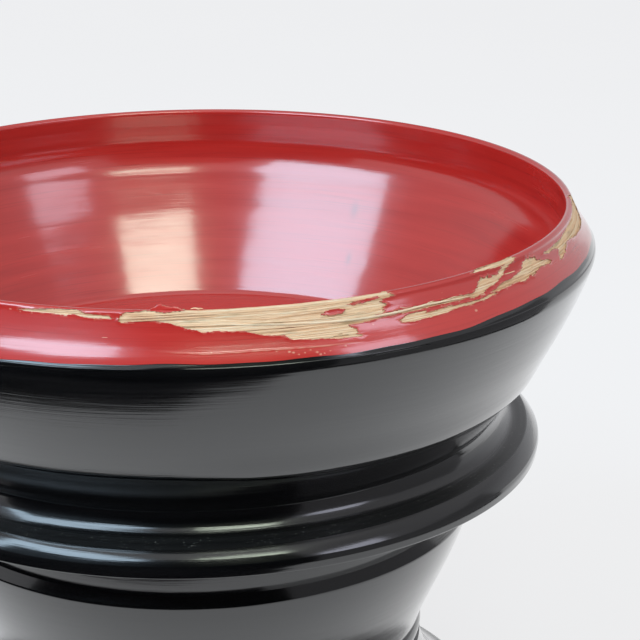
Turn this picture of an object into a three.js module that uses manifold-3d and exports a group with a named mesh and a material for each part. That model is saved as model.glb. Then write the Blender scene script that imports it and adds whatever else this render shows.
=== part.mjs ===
// Lacquer offering bowl: a shallow bowl of wound split bamboo under red and black lacquer, on a
// hollow stand with a broad flange, a round cup, a beaded waist and a flared foot.
// The bowl's lacquer has flaked off the lip, so that the wound strips of the rim show.
// Units are millimetres, +Z is up, and the origin is the middle of the foot, on the ground.

import * as THREE from 'three';
import { mergeVertices } from 'three/addons/utils/BufferGeometryUtils.js';
import Module from 'manifold-3d';

const wasm = await Module();
wasm.setup();

// Driving heights, from the ground up
const FOOT_HOOP_HEIGHT = 8.5;
const TRUMPET_HEIGHT = 55.5;
const BEAD_HEIGHT = 12;
const CUP_HEIGHT = 95.5;
const FLANGE_THICKNESS = 13;
const NECK_HEIGHT = 34.2;
const CONE_HEIGHT = 57.5;
const RIM_HEIGHT = 23.8;

// Driving widths, each measured from the one before
const SHOULDER_RADIUS = 200;
const LIP_INSET = 14;
const ARRIS_INSET = 28;
const NECK_INSET = 17.8;
const FLANGE_OVERHANG = 20.6;
const CUP_INSET = 14.6;
const CUP_TAPER = 29.6;
const BEAD_DEPTH = 6;
const FOOT_FLARE = 40;

// The lip and the shoulder
const LIP_BAND_HEIGHT = 9.4;
const LIP_BAND_LEAN = 3;
const NOTCH_STEP = 1.7;
const NOTCH_DROP = 0.6;
const FLARE_BULGE = 0.7;
const PAINT_LINE_RISE = 4.4;
const CONE_BULGE = 2;
const ARRIS_BEVEL = 1.2;
const FLOOR_DROP = 20.6;
const FLOOR_BEND = 6;

// Thicknesses of the lacquer and of the bamboo under it, and the clearance between two pieces
const COAT = 1;
const GAP = 0.3;
const STRIP_WIDTH = 2.6;
const STRIP_THICKNESS = 1.4;
const STRIP_SPACING = 0.5;
const HOOP_THICKNESS = 2;
const WALL_CORE = 3;
const WALL_FOOT_CORE = 7.4;
const FLOOR_CORE = 5;
const STAND_WALL = 5.5;
const STAND_BORE_INSET = 9.6;
const FOOT_WIDTH = 11;
const FOOT_BEVEL = 1.2;

// Fillets where the neck and the cup meet the flange
const NECK_FILLET = 11;
const CUP_FILLET = 5.8;

// How the curved sides run, each as a share of that side's own height or width
const NECK_SWEEP = 0.4;
const CUP_FULLNESS = 0.42;
const CUP_DRAW_IN = 0.19;
const TRUMPET_SWEEP = 0.36;

// Where two courses of a side meet, as a share of that side's height from its foot
const WALL_SEAM = 0.45;
const CUP_SEAM = 0.4;
const TRUMPET_SEAM = 0.45;

// Joints of the bowl and of the stand
const WALL_SEAT_DROP = 8.8;
const FLOOR_SEAT = 13;
const TONGUE_LENGTH = 12;
const TONGUE_THICKNESS = 3.6;
const PEG_COUNT = 6;
const PEG_DIAMETER = 4.4;
const PEG_SIDES = 10;
const PEG_CLEARANCE = 0.3;
const PEG_DEPTH_IN_NECK = 5.5;
const PEG_DEPTH_IN_CUP = 16;

// A flake of red lacquer that stands up from the crest
const FLAKE_LENGTH = 15;
const FLAKE_RISE = 2.8;
const FLAKE_THICKNESS = 0.8;
const FLAKE_AZIMUTH = -3.8;

// Flat sides to a full turn, shared by all the round pieces so that they nest without touching
const FACETS = 40;

// Corners nearer than this are one corner
const MERGE_DISTANCE = 1e-4;

// Levels and radii that follow from the driving sizes
const footTop = FOOT_HOOP_HEIGHT;
const beadBottom = footTop + TRUMPET_HEIGHT;
const beadTop = beadBottom + BEAD_HEIGHT;
const flangeUnder = beadTop + CUP_HEIGHT;
const flangeTop = flangeUnder + FLANGE_THICKNESS;
const arrisLevel = flangeTop + NECK_HEIGHT;
const noseLevel = arrisLevel + CONE_HEIGHT;
const crest = noseLevel + RIM_HEIGHT;
const floorLevel = arrisLevel - FLOOR_DROP;
const lipRadius = SHOULDER_RADIUS - LIP_INSET;
const arrisRadius = SHOULDER_RADIUS - ARRIS_INSET;
const neckRadius = arrisRadius - NECK_INSET;
const flangeRadius = neckRadius + FLANGE_OVERHANG;
const cupRadius = neckRadius - CUP_INSET;
const waistRadius = cupRadius - CUP_TAPER;
const footRadius = waistRadius + FOOT_FLARE;
const standBore = cupRadius - STAND_BORE_INSET;
const bed = COAT + GAP;
const rimThickness = 2 * bed + STRIP_THICKNESS;
const shoulderThickness = rimThickness + GAP + HOOP_THICKNESS;
const wallThickness = 2 * bed + WALL_CORE;
const wallFootThickness = 2 * bed + WALL_FOOT_CORE;

// Points of a profile: radius and height
const at = (radius, height) => new THREE.Vector2(radius, height);

// Evenly spaced points on a curve whose pull points are given
function curve(pulls, steps) {
  const Curve = pulls.length === 3 ? THREE.QuadraticBezierCurve : THREE.CubicBezierCurve;
  return new Curve(...pulls).getPoints(steps);
}

// A line moved sideways. A line that runs down the outside moves towards the axis,
// and one that runs down the inside needs a negative distance to move into the wall.
function offset(line, distance) {
  const sides = line.slice(1).map((point, i) => point.clone().sub(line[i]).normalize());
  const normals = sides.map((side) => at(side.y, -side.x));
  return line.map((point, i) => {
    const before = normals[Math.max(i - 1, 0)];
    const after = normals[Math.min(i, normals.length - 1)];
    const middle = before.clone().add(after).normalize();
    return point.clone().addScaledVector(middle, distance / middle.dot(before));
  });
}

// The stretch of a line between two levels ('y') or two radii ('x'), with its ends cut clean
function between(line, coordinate, from, to) {
  const low = Math.min(from, to);
  const high = Math.max(from, to);
  const kept = [];
  line.forEach((point, i) => {
    const value = point[coordinate];
    if (i > 0) {
      const last = line[i - 1];
      const cuts = [low, high].filter((cut) => (last[coordinate] - cut) * (value - cut) < 0);
      cuts.sort((a, b) => Math.abs(a - last[coordinate]) - Math.abs(b - last[coordinate]));
      for (const cut of cuts) {
        kept.push(last.clone().lerp(point, (cut - last[coordinate]) / (value - last[coordinate])));
      }
    }
    if (value >= low && value <= high) {
      kept.push(point.clone());
    }
  });
  return kept;
}

// The same line with a little cut off each end
function trim(line, fromStart, fromEnd) {
  const cut = (points, length) => {
    const side = points[1].clone().sub(points[0]);
    return [points[0].clone().addScaledVector(side.normalize(), length), ...points.slice(1)];
  };
  return cut(cut(line, fromStart).reverse(), fromEnd).reverse();
}

// A closed profile between two sidesteps of one line, such as a coat of lacquer
const skin = (line, near, far) => [...offset(line, near), ...offset(line, far).reverse()];

// The radius of a line that runs down, at a given level
function radiusAt(line, level) {
  const i = line.findIndex((point) => point.y <= level);
  const share = (line[i - 1].y - level) / (line[i - 1].y - line[i].y);
  return THREE.MathUtils.lerp(line[i - 1].x, line[i].x, share);
}

// Solids are joined and cut as closed meshes with shared corners
function toSolid(geometry) {
  geometry.deleteAttribute('normal');
  geometry.deleteAttribute('uv');
  const merged = mergeVertices(geometry, MERGE_DISTANCE);
  const corners = [];
  for (let i = 0; i < merged.index.count; i += 3) {
    const [a, b, c] = [0, 1, 2].map((k) => merged.index.getX(i + k));
    if (a !== b && b !== c && c !== a) {
      corners.push(a, b, c);
    }
  }
  const vertProperties = new Float32Array(merged.attributes.position.array);
  const triVerts = new Uint32Array(corners);
  return new wasm.Manifold(new wasm.Mesh({ numProp: 3, vertProperties, triVerts }));
}

function toGeometry(solid) {
  const { vertProperties, triVerts } = solid.getMesh();
  const geometry = new THREE.BufferGeometry();
  geometry.setAttribute('position', new THREE.BufferAttribute(vertProperties, 3));
  geometry.setIndex(new THREE.BufferAttribute(triVerts, 1));
  geometry.computeVertexNormals();
  return geometry;
}

// A ring or disc turned from a closed profile about the upright axis
function turned(profile) {
  const upward = THREE.ShapeUtils.area(profile) > 0 ? profile : [...profile].reverse();
  const geometry = new THREE.LatheGeometry([...upward, upward[0]], FACETS);
  return toSolid(geometry.rotateX(Math.PI / 2));
}

// One course of a round side: what lies between its two faces and between two levels
const course = (outer, inner, top, foot) =>
  turned([...between(outer, 'y', top, foot), ...between(inner, 'y', top, foot).reverse()]);

// Outer line of the bowl, from inside the lip over the crest and down to the paint line
const lipHalf = rimThickness / 2;
const crestArc = [180, 120, 60, 0].map((degrees) => {
  const turn = THREE.MathUtils.degToRad(degrees);
  return at(lipRadius + lipHalf * Math.cos(turn), crest - lipHalf + lipHalf * Math.sin(turn));
});
const legEnd = at(lipRadius - lipHalf, crest - rimThickness);
const bandTop = crestArc[crestArc.length - 1];
const bandFoot = at(bandTop.x + LIP_BAND_LEAN, crest - LIP_BAND_HEIGHT);
const notch = at(bandFoot.x + NOTCH_STEP, bandFoot.y - NOTCH_DROP);
const nose = at(SHOULDER_RADIUS, noseLevel);
const paintLevel = noseLevel + PAINT_LINE_RISE;
const flareMiddle = notch.clone().lerp(nose, 0.5).add(at(FLARE_BULGE * 2, FLARE_BULGE));
const flare = curve([notch, flareMiddle, nose], 3);
const flareLine = between(flare, 'y', notch.y, paintLevel);
const rimLine = [legEnd, ...crestArc, bandFoot, ...flareLine];

// Outer line of the black bowl, from the paint line over the shoulder to the arris and the neck
const arris = at(arrisRadius, arrisLevel);
const underArris = at(arrisRadius - 2 * ARRIS_BEVEL, arrisLevel - ARRIS_BEVEL);
const coneMiddle = nose.clone().lerp(arris, 0.5).add(at(2 * CONE_BULGE, 0));
const shoulder = between(flare, 'y', paintLevel, nose.y);
const cone = curve([nose, coneMiddle, arris], 4).slice(1);
const filletTop = at(neckRadius, flangeTop + NECK_FILLET);
const filletEnd = at(neckRadius + NECK_FILLET, flangeTop);
const neckPull = at(neckRadius + NECK_INSET * NECK_SWEEP, arrisLevel - NECK_HEIGHT * NECK_SWEEP);
const neck = curve([underArris, neckPull, filletTop], 3);
const fillet = curve([filletTop, at(neckRadius, flangeTop), filletEnd], 3).slice(1);
const bowlLine = [...shoulder, ...cone, ...neck, ...fillet];

// Outer line of the flange: a nearly level top, a rounded edge and a level underside
const edgeDrop = FLANGE_THICKNESS / 8;
const edgeReach = FLANGE_THICKNESS / 4;
const topEdge = at(flangeRadius - edgeReach, flangeTop - edgeDrop);
const lowEdge = at(flangeRadius - edgeReach, flangeUnder + edgeDrop);
const edge = curve([
  topEdge,
  at(flangeRadius + edgeReach / 3, topEdge.y),
  at(flangeRadius + edgeReach / 3, lowEdge.y),
  lowEdge,
], 4);
const cupRoot = at(cupRadius + CUP_FILLET, flangeUnder);
const flangeLine = [filletEnd, ...edge, cupRoot];

// Outer line of the cup: a small fillet under the flange, a full side and a drawn-in waist
const cupStart = at(cupRadius, flangeUnder - CUP_FILLET);
const waistTop = at(waistRadius, beadTop);
const cupSide = curve([
  cupStart,
  at(cupRadius, flangeUnder - CUP_HEIGHT * CUP_FULLNESS),
  at(waistRadius + CUP_TAPER * CUP_DRAW_IN / 2, beadTop + CUP_HEIGHT * CUP_DRAW_IN),
  waistTop,
], 6);
const cupFillet = curve([cupRoot, at(cupRadius, flangeUnder), cupStart], 2);
const cupLine = [...cupFillet, ...cupSide.slice(1)];

// Outer line of the trumpet, from under the bead to the top of the foot hoop
const trumpetTop = at(waistRadius, beadBottom);
const trumpetFoot = at(footRadius - 2 * FOOT_BEVEL, footTop);
const trumpetLine = curve([
  trumpetTop,
  at(waistRadius, beadBottom - TRUMPET_HEIGHT * TRUMPET_SWEEP),
  at(waistRadius + FOOT_FLARE * TRUMPET_SWEEP, footTop + TRUMPET_HEIGHT * TRUMPET_SWEEP / 2),
  trumpetFoot,
], 5);

// Inner line of the bowl: the lip, a rounded hollow behind the shoulder, the wall and the floor
const bandInside = offset([bandTop, bandFoot], rimThickness)[1];
const flareInside = offset([notch, nose], shoulderThickness);
const coneInside = [
  offset([nose, arris], wallThickness)[0],
  offset([nose, arris], wallFootThickness)[1],
];

// Where two straight lines, each through two points, cross
function crossing([a, b], [c, d]) {
  const first = b.clone().sub(a);
  const second = d.clone().sub(c);
  const along = c.clone().sub(a).cross(second) / first.cross(second);
  return a.clone().addScaledVector(first, along);
}

const hollowCorner = crossing(flareInside, coneInside);
const roundingReach = RIM_HEIGHT / 3;
const towards = (from, to, reach) =>
  from.clone().addScaledVector(to.clone().sub(from).normalize(), reach);
const hollow = curve([
  towards(hollowCorner, flareInside[0], roundingReach),
  hollowCorner,
  towards(hollowCorner, coneInside[1], roundingReach),
], 3);
const floorCorner = crossing(coneInside, [at(0, floorLevel), at(1, floorLevel)]);
const wallEnd = towards(floorCorner, coneInside[0], FLOOR_BEND);
const wallMiddle = hollow[3].clone().lerp(wallEnd, 0.5).add(at(CONE_BULGE, 0));
const floorEdge = at(floorCorner.x - FLOOR_BEND, floorLevel);
const wall = curve([hollow[3], wallMiddle, wallEnd], 2);
const floorBend = curve([wallEnd, floorCorner, floorEdge], 4).slice(1);
const liningLine = [
  legEnd.clone().sub(at(0, GAP)),
  bandInside,
  ...hollow,
  ...wall.slice(1),
  ...floorBend,
  at(0, floorLevel),
];

// Chips in the rim's lacquer: at each azimuth, how far below the crest the bare patch
// starts and ends. Azimuth is in degrees to the right of the front, seen from outside.
const CHIPS = {
  front: [
    [-9.8, 2.4, 4.9], [-8.6, 0.4, 4.2], [-6.5, 0.4, 3.1], [-4.5, 0.6, 3.6], [-2.6, 0.8, 5.1],
    [-1, 0.7, 6.9], [1, 0.6, 8.2], [6, 1, 8.5], [8, 1.6, 10], [11, 2.1, 10.8], [11.8, 2.2, 12.7],
    [18, 1.7, 14.2], [20.3, 0.8, 14], [20.6, 0.7, 9.2], [24, 0.5, 7.4], [24.2, 0.5, 3.4],
    [26, 1.2, 2.6],
  ],
  left_sliver: [
    [-23.2, 1.9, 2.4], [-19.5, 1.1, 2.3], [-17.5, 0.9, 2.9], [-14.3, 0.7, 3.3], [-13.7, 2, 3.4],
    [-10.6, 2.4, 3.4],
  ],
  splinter: [[20, 8, 9.5], [26, 7.9, 9.1], [31.4, 7.4, 8.7], [38.2, 8.2, 9.2], [40, 8.5, 9]],
  low_strip: [
    [26.4, 11, 11.8], [28.4, 10.4, 12.6], [33.2, 10.7, 12.1], [37.6, 10.8, 12], [43, 10.9, 11.7],
  ],
  branch: [
    [38.5, 6.4, 7.4], [40.5, 4.2, 8], [43, 3.4, 7.2], [44.5, 3, 5.4], [46, 0.9, 3.6],
    [48.6, 0.6, 2.6],
  ],
  flag: [
    [42.8, 8.4, 9], [46, 7.8, 9.1], [48.5, 7, 9.2], [50.5, 4.5, 9.1], [52, 2.8, 9], [54, 4, 8.8],
    [57.4, 8, 8.9],
  ],
  right_end: [
    [56.3, 3.9, 5], [60, 4.1, 6.6], [61, 4.3, 8.9], [64, 4.4, 8.8], [65.5, 4.4, 6.8],
    [70.6, 3, 8.6], [75, 2, 9.1], [80, 1, 9.2], [84, 0.8, 6], [88, 1.2, 2.5],
  ],
};

// A point on the rim, from its azimuth, radius and height. The front of the bowl faces -Y.
function onRim(azimuth, radius, height) {
  const turn = THREE.MathUtils.degToRad(azimuth);
  return [radius * Math.sin(turn), -radius * Math.cos(turn), height];
}

// A closed strip lofted through rings of corners, each ring in the same order
function loft(rings) {
  const size = rings[0].length;
  const corners = [];
  for (let ring = 1; ring < rings.length; ring += 1) {
    for (let side = 0; side < size; side += 1) {
      const next = (side + 1) % size;
      const [a, b] = [(ring - 1) * size + side, (ring - 1) * size + next];
      const [c, d] = [ring * size + side, ring * size + next];
      corners.push(a, b, d, a, d, c);
    }
  }
  const last = (rings.length - 1) * size;
  for (let side = 2; side < size; side += 1) {
    corners.push(0, side, side - 1, last, last + side - 1, last + side);
  }
  const geometry = new THREE.BufferGeometry();
  const positions = new Float32Array(rings.flat(2));
  geometry.setAttribute('position', new THREE.BufferAttribute(positions, 3));
  geometry.setIndex(corners);
  return geometry;
}

// Where a round face really lies at an azimuth, since its sides are flat between the facets' edges
function onFacet(azimuth, radius) {
  const half = 180 / FACETS;
  const fromMiddle = THREE.MathUtils.euclideanModulo(azimuth, 2 * half) - half;
  const flatness = Math.cos(THREE.MathUtils.degToRad(half));
  return (radius * flatness) / Math.cos(THREE.MathUtils.degToRad(fromMiddle));
}

// The tool that takes one chip out of the skin, but leaves the strips and the crest's inner half
const rimFace = [at(lipRadius, crest), ...rimLine.slice(rimLine.indexOf(crestArc[2]))];
function chipTool(stations) {
  const rings = stations.map(([azimuth, top, foot]) => {
    const middle = THREE.MathUtils.clamp(LIP_BAND_HEIGHT, top + COAT / 4, foot - COAT / 4);
    const levels = [top, middle, foot].map((drop) => crest - drop);
    const radii = levels.map((level) => radiusAt(rimFace, level));
    const inner = radii.map((radius) => Math.max(radius - COAT - GAP / 2, lipRadius + GAP));
    const spot = (radius, level) => onRim(azimuth, onFacet(azimuth, radius), level);
    return [
      ...levels.map((level, i) => spot(radii[i] + 2 * COAT, level)),
      ...levels.map((level, i) => spot(inner[i], level)).reverse(),
    ];
  });
  return toSolid(loft(rings));
}

// One unbroken bamboo strip wound round the rim, edge beside edge, down a sloping bed
function winding(bedLine, label) {
  const lengths = bedLine.slice(1).map((point, i) => point.distanceTo(bedLine[i]));
  const total = lengths.reduce((sum, length) => sum + length, 0);
  const pitch = STRIP_WIDTH + STRIP_SPACING;
  const turns = Math.max(1, (total - STRIP_WIDTH) / pitch);
  const steps = Math.floor(turns * FACETS);
  const place = (along) => {
    let left = along;
    let i = 0;
    while (i < lengths.length - 1 && left > lengths[i]) {
      left -= lengths[i];
      i += 1;
    }
    const side = bedLine[i + 1].clone().sub(bedLine[i]).normalize();
    return { point: bedLine[i].clone().addScaledVector(side, left), side };
  };
  const rings = [];
  for (let step = 0; step <= steps; step += 1) {
    const { point, side } = place(STRIP_WIDTH / 2 + (step / FACETS) * pitch);
    const inward = at(side.y, -side.x);
    const corner = (across, deep) => {
      const spot = point.clone().addScaledVector(side, across * STRIP_WIDTH / 2);
      spot.addScaledVector(inward, deep * STRIP_THICKNESS / 2);
      return onRim((step / FACETS) * 360, spot.x, spot.y);
    };
    rings.push([corner(1, -1), corner(1, 1), corner(-1, 1), corner(-1, -1)]);
  }
  let least = Infinity;
  rings.slice(FACETS).forEach((ring, i) => {
    const above = new THREE.Vector3(...rings[i][0]);
    least = Math.min(least, above.distanceTo(new THREE.Vector3(...ring[3])));
  });
  console.log(`${label}: ${turns.toFixed(2)} turns, least gap between turns ${least.toFixed(2)} mm`);
  return toSolid(loft(rings));
}

// Rim pieces
const strips = offset([bandTop, bandFoot], bed + STRIP_THICKNESS / 2);
const lipWinding = winding(trim(strips, GAP, GAP), 'lip winding');
const flareStrips = offset(flareLine, bed + STRIP_THICKNESS / 2);
const shoulderWinding = winding(trim(flareStrips, GAP, 0), 'shoulder winding');

let redRim = turned(skin(trim(rimLine, 0, GAP / 2), 0, COAT));
for (const stations of Object.values(CHIPS)) {
  redRim = redRim.subtract(chipTool(stations));
}

const hoopTop = notch.y - STRIP_WIDTH;
const hoopFoot = paintLevel - GAP;
const hoopOuter = offset(flareLine, bed + STRIP_THICKNESS + GAP);
const liningBack = offset(liningLine, -bed);
const shoulderHoop = course(hoopOuter, liningBack, hoopTop, hoopFoot);

// Bowl pieces
const liningUnder = between(offset(liningLine, -COAT), 'y', 0, liningLine[0].y);
const redLining = turned([...liningLine, ...liningUnder.reverse()]);
const wallTop = Math.min(hoopFoot, flareStrips[flareStrips.length - 1].y) - 3 * GAP;
const wallFoot = arrisLevel - WALL_SEAT_DROP;
const bowlBed = offset(bowlLine, bed);
const wallSeam = arrisLevel + CONE_HEIGHT * WALL_SEAM;
const upperWall = course(bowlBed, liningBack, wallTop, wallSeam);
const lowerWall = course(bowlBed, liningBack, wallSeam - GAP, wallFoot);
const floorRadius = floorEdge.x;
const floorTop = floorLevel - bed;
const floorUnder = floorTop - FLOOR_CORE;
const bowlFloor = turned([
  at(floorRadius, floorTop),
  at(0, floorTop),
  at(0, floorUnder),
  at(floorRadius, floorUnder),
]);

// Pegs that pin the neck ring, the flange and the cup together
const flangeSeat = flangeTop - bed;
const pegCircle = (standBore + cupRadius) / 2;
const pegTop = flangeSeat + PEG_DEPTH_IN_NECK;
const pegFoot = flangeUnder - PEG_DEPTH_IN_CUP;
function peg(index, growth) {
  const length = pegTop - pegFoot + 2 * growth;
  const shape = new THREE.CylinderGeometry(
    PEG_DIAMETER / 2 + growth,
    PEG_DIAMETER / 2 + growth,
    length,
    PEG_SIDES,
  );
  shape.rotateX(Math.PI / 2);
  const [x, y, z] = onRim((index + 0.5) * (360 / PEG_COUNT), pegCircle, (pegTop + pegFoot) / 2);
  return toSolid(shape.translate(x, y, z));
}
const pegNumbers = Array.from({ length: PEG_COUNT }, (unused, index) => index);
function drilled(solid) {
  return pegNumbers.reduce((rest, index) => rest.subtract(peg(index, PEG_CLEARANCE)), solid);
}

// Neck ring: it carries the wall on its sloping top and the floor disc in a rebate
const neckTop = wallFoot - GAP;
const neckBore = floorRadius - FLOOR_SEAT;
const belowBend = between(liningBack, 'y', neckTop, 0);
const neckRing = drilled(turned([
  ...between(bowlBed, 'y', neckTop, flangeSeat + GAP),
  at(neckBore, flangeSeat + GAP),
  at(neckBore, floorUnder - GAP),
  at(floorRadius + GAP, floorUnder - GAP),
  ...between(belowBend, 'x', floorRadius + GAP, neckRadius + ARRIS_INSET).reverse(),
]));

// Flange: a flat ring between the neck ring and the cup, with a shallow seat for the neck
const flangeRing = drilled(turned([
  at(standBore, flangeSeat),
  at(filletEnd.x, flangeSeat),
  ...flangeLine,
  at(standBore, flangeUnder),
]));

// Cup: thick where the pegs enter, thinner further down, with an open bore
const cupInner = offset(cupLine, STAND_WALL);
const thickFoot = pegFoot - STAND_WALL;
const cupTop = flangeUnder - GAP;
const cupSeam = beadTop + CUP_HEIGHT * CUP_SEAM;
const upperCup = drilled(turned([
  ...between(cupLine, 'y', cupTop, cupSeam),
  ...between(cupInner, 'y', thickFoot - STAND_WALL, cupSeam).reverse(),
  at(standBore, thickFoot),
  at(standBore, cupTop),
]));
const lowerCup = course(cupLine, cupInner, cupSeam - GAP, beadTop + GAP);

// Waist hoop: a bead outside, with a tongue up into the cup and one down into the trumpet
const tongueOuter = waistRadius - STAND_WALL - GAP;
const tongueInner = tongueOuter - TONGUE_THICKNESS;
const beadPull = waistRadius + (BEAD_DEPTH * 4) / 3;
const beadArc = curve([
  at(waistRadius, beadBottom),
  at(beadPull, beadBottom),
  at(beadPull, beadTop),
  at(waistRadius, beadTop),
], 6);
const waistHoop = turned([
  ...beadArc,
  at(tongueOuter, beadTop),
  at(tongueOuter, beadTop + TONGUE_LENGTH),
  at(tongueInner, beadTop + TONGUE_LENGTH),
  at(tongueInner, beadBottom - TONGUE_LENGTH),
  at(tongueOuter, beadBottom - TONGUE_LENGTH),
  at(tongueOuter, beadBottom),
]);

// Trumpet and foot hoop
const trumpetInner = offset(trumpetLine, STAND_WALL);
const trumpetSeam = footTop + TRUMPET_HEIGHT * TRUMPET_SEAM;
const upperTrumpet = course(trumpetLine, trumpetInner, beadBottom - GAP, trumpetSeam);
const lowerTrumpet = course(trumpetLine, trumpetInner, trumpetSeam - GAP, footTop + GAP);
const footInner = footRadius - FOOT_WIDTH;
const footHoop = turned([
  at(footInner, 0),
  at(footRadius - FOOT_BEVEL, 0),
  at(footRadius, FOOT_BEVEL),
  at(footRadius, footTop - FOOT_BEVEL),
  at(footRadius - FOOT_BEVEL, footTop),
  at(footInner, footTop),
]);

// Black lacquer over the bowl's wall and neck, from the paint line to the flange
const bowlCoat = turned(skin(trim(bowlLine, GAP / 2, GAP), 0, COAT));

// The lifted flake stands on the crest like a small fin, thin and pointed
function flake() {
  const outline = new THREE.Shape();
  outline.moveTo(-FLAKE_LENGTH / 2, 0);
  outline.quadraticCurveTo(-FLAKE_LENGTH / 4, 0, -FLAKE_LENGTH / 8, FLAKE_RISE);
  outline.quadraticCurveTo(FLAKE_LENGTH / 6, FLAKE_RISE / 3, FLAKE_LENGTH / 2, 0);
  const shape = new THREE.ExtrudeGeometry(outline, {
    depth: FLAKE_THICKNESS,
    bevelEnabled: false,
    curveSegments: 4,
  });
  const chord = lipRadius * Math.cos(Math.PI / FACETS);
  shape.rotateX(Math.PI / 2).translate(0, -chord, crest + GAP);
  return toSolid(shape.rotateZ(THREE.MathUtils.degToRad(FLAKE_AZIMUTH)));
}

// Finishes
const finish = (color, roughness) =>
  new THREE.MeshStandardMaterial({ color, roughness, metalness: 0 });
const redLacquer = finish(0xb52c2a, 0.28);
const blackLacquer = finish(0x121317, 0.22);
const bamboo = finish(0xcfbc8a, 0.75);
const darkBamboo = finish(0x8f7a4c, 0.8);

const bowl = new THREE.Group();
function add(name, solid, material) {
  const mesh = new THREE.Mesh(toGeometry(solid), material);
  mesh.name = name;
  bowl.add(mesh);
}
add('red_rim', redRim, redLacquer);
add('red_lining', redLining, redLacquer);
add('lifted_flake', flake(), redLacquer);
add('lip_winding', lipWinding, bamboo);
add('shoulder_winding', shoulderWinding, bamboo);
add('shoulder_hoop', shoulderHoop, darkBamboo);
add('bowl_wall_upper', upperWall, darkBamboo);
add('bowl_wall_lower', lowerWall, darkBamboo);
add('bowl_floor', bowlFloor, darkBamboo);
add('neck_ring', neckRing, darkBamboo);
add('flange_ring', flangeRing, blackLacquer);
add('cup_upper', upperCup, blackLacquer);
add('cup_lower', lowerCup, blackLacquer);
add('waist_hoop', waistHoop, blackLacquer);
add('trumpet_upper', upperTrumpet, blackLacquer);
add('trumpet_lower', lowerTrumpet, blackLacquer);
add('foot_hoop', footHoop, blackLacquer);
add('black_coat', bowlCoat, blackLacquer);
pegNumbers.forEach((index) => add(`neck_peg_${index + 1}`, peg(index, 0), bamboo));

export default bowl;
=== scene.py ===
# %% [markdown]
# A lacquer offering bowl in Blender.
# The real bowl is split bamboo, wound into rings, closed with putty and painted with many coats
# of lacquer: red inside and over the rim, black outside. It stands on a hollow foot. The lacquer
# has flaked off the lip, so that the bamboo shows.
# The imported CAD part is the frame. It says how large everything is and where it sits. This
# script only dresses it, so every piece starts from sizes that are read from that frame.

# %% Load the frame
import math

import bpy
import numpy as np
from mathutils import Matrix, Vector


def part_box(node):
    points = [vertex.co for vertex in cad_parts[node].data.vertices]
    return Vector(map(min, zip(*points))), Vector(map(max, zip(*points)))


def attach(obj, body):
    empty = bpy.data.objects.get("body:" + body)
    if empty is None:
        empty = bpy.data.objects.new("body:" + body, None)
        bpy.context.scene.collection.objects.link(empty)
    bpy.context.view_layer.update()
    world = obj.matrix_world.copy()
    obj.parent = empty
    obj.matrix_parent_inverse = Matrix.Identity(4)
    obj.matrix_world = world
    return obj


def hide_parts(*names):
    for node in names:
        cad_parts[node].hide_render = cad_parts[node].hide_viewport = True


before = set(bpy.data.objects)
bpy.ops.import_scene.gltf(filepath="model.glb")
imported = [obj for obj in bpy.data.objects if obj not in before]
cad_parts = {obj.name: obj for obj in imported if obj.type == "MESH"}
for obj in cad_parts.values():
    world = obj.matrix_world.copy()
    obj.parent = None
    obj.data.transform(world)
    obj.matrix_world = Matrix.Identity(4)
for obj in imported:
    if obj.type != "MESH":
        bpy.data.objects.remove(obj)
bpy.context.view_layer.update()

MM = 0.001

# %% [markdown]
# The camera comes first, because all likeness is judged through it.
# It could be placed by eye, but a close view has strong perspective: the far rim is half as far
# again as the near one. So distance, height and tilt were solved from the rim's two ellipses and
# the outline of the wall. The camera stands in front, at -Y, and looks down into the bowl.

# %% Camera
FOCAL_PIXELS = 2000.5
IMAGE_PIXELS = 640
SENSOR_MM = 36
CAMERA_DISTANCE = 0.96386
CAMERA_ABOVE_LIP = 0.25778
YAW, PITCH, ROLL = 0.0654, 0.3261, -0.0039

lip_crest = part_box("red_rim")[1].z
forward = Vector((
    math.sin(YAW) * math.cos(PITCH),
    math.cos(YAW) * math.cos(PITCH),
    -math.sin(PITCH),
))
level_right = Vector((math.cos(YAW), -math.sin(YAW), 0))
level_up = level_right.cross(forward)
right = level_right * math.cos(ROLL) + level_up * math.sin(ROLL)
up = level_up * math.cos(ROLL) - level_right * math.sin(ROLL)

camera_data = bpy.data.cameras.new("camera")
camera_data.sensor_width = SENSOR_MM
camera_data.lens = FOCAL_PIXELS * SENSOR_MM / IMAGE_PIXELS
camera_data.clip_start = 0.01
camera = bpy.data.objects.new("camera", camera_data)
turn = Matrix((right, up, -forward)).transposed().to_4x4()
place = Vector((0, -CAMERA_DISTANCE, lip_crest + CAMERA_ABOVE_LIP))
camera.matrix_world = Matrix.Translation(place) @ turn
bpy.context.scene.collection.objects.link(camera)
bpy.context.scene.camera = camera
bpy.context.scene.view_settings.view_transform = "Standard"
print("lens", round(camera_data.lens, 1), "mm, camera at", [round(c, 3) for c in place])

# %% [markdown]
# Every round piece here is turned from an outline, as a lacquer worker's template would give it.
# The outline is drawn in millimetres as radius and height, from the same sizes as the frame.
# Levels come from the boxes of its nodes. The step from one width to the next is named here, and
# smaller sizes are named where they are first used.

# %% Levels and widths, in millimetres
def level(name, end):
    """The lowest (0) or highest (1) level of a CAD node."""
    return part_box(name)[end].z / MM


GAP = 0.3
COAT = 1.0
SHOULDER_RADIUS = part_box("black_coat")[1].x / MM
CREST = level("red_rim", 1)
FLANGE_TOP = level("flange_ring", 1)
FLOOR_LEVEL = level("bowl_floor", 1) + COAT + GAP

LIP_INSET = 14
ARRIS_INSET = 28
NECK_INSET = 17.8
NECK_HEIGHT = 34.2
CONE_HEIGHT = 57.5

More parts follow.
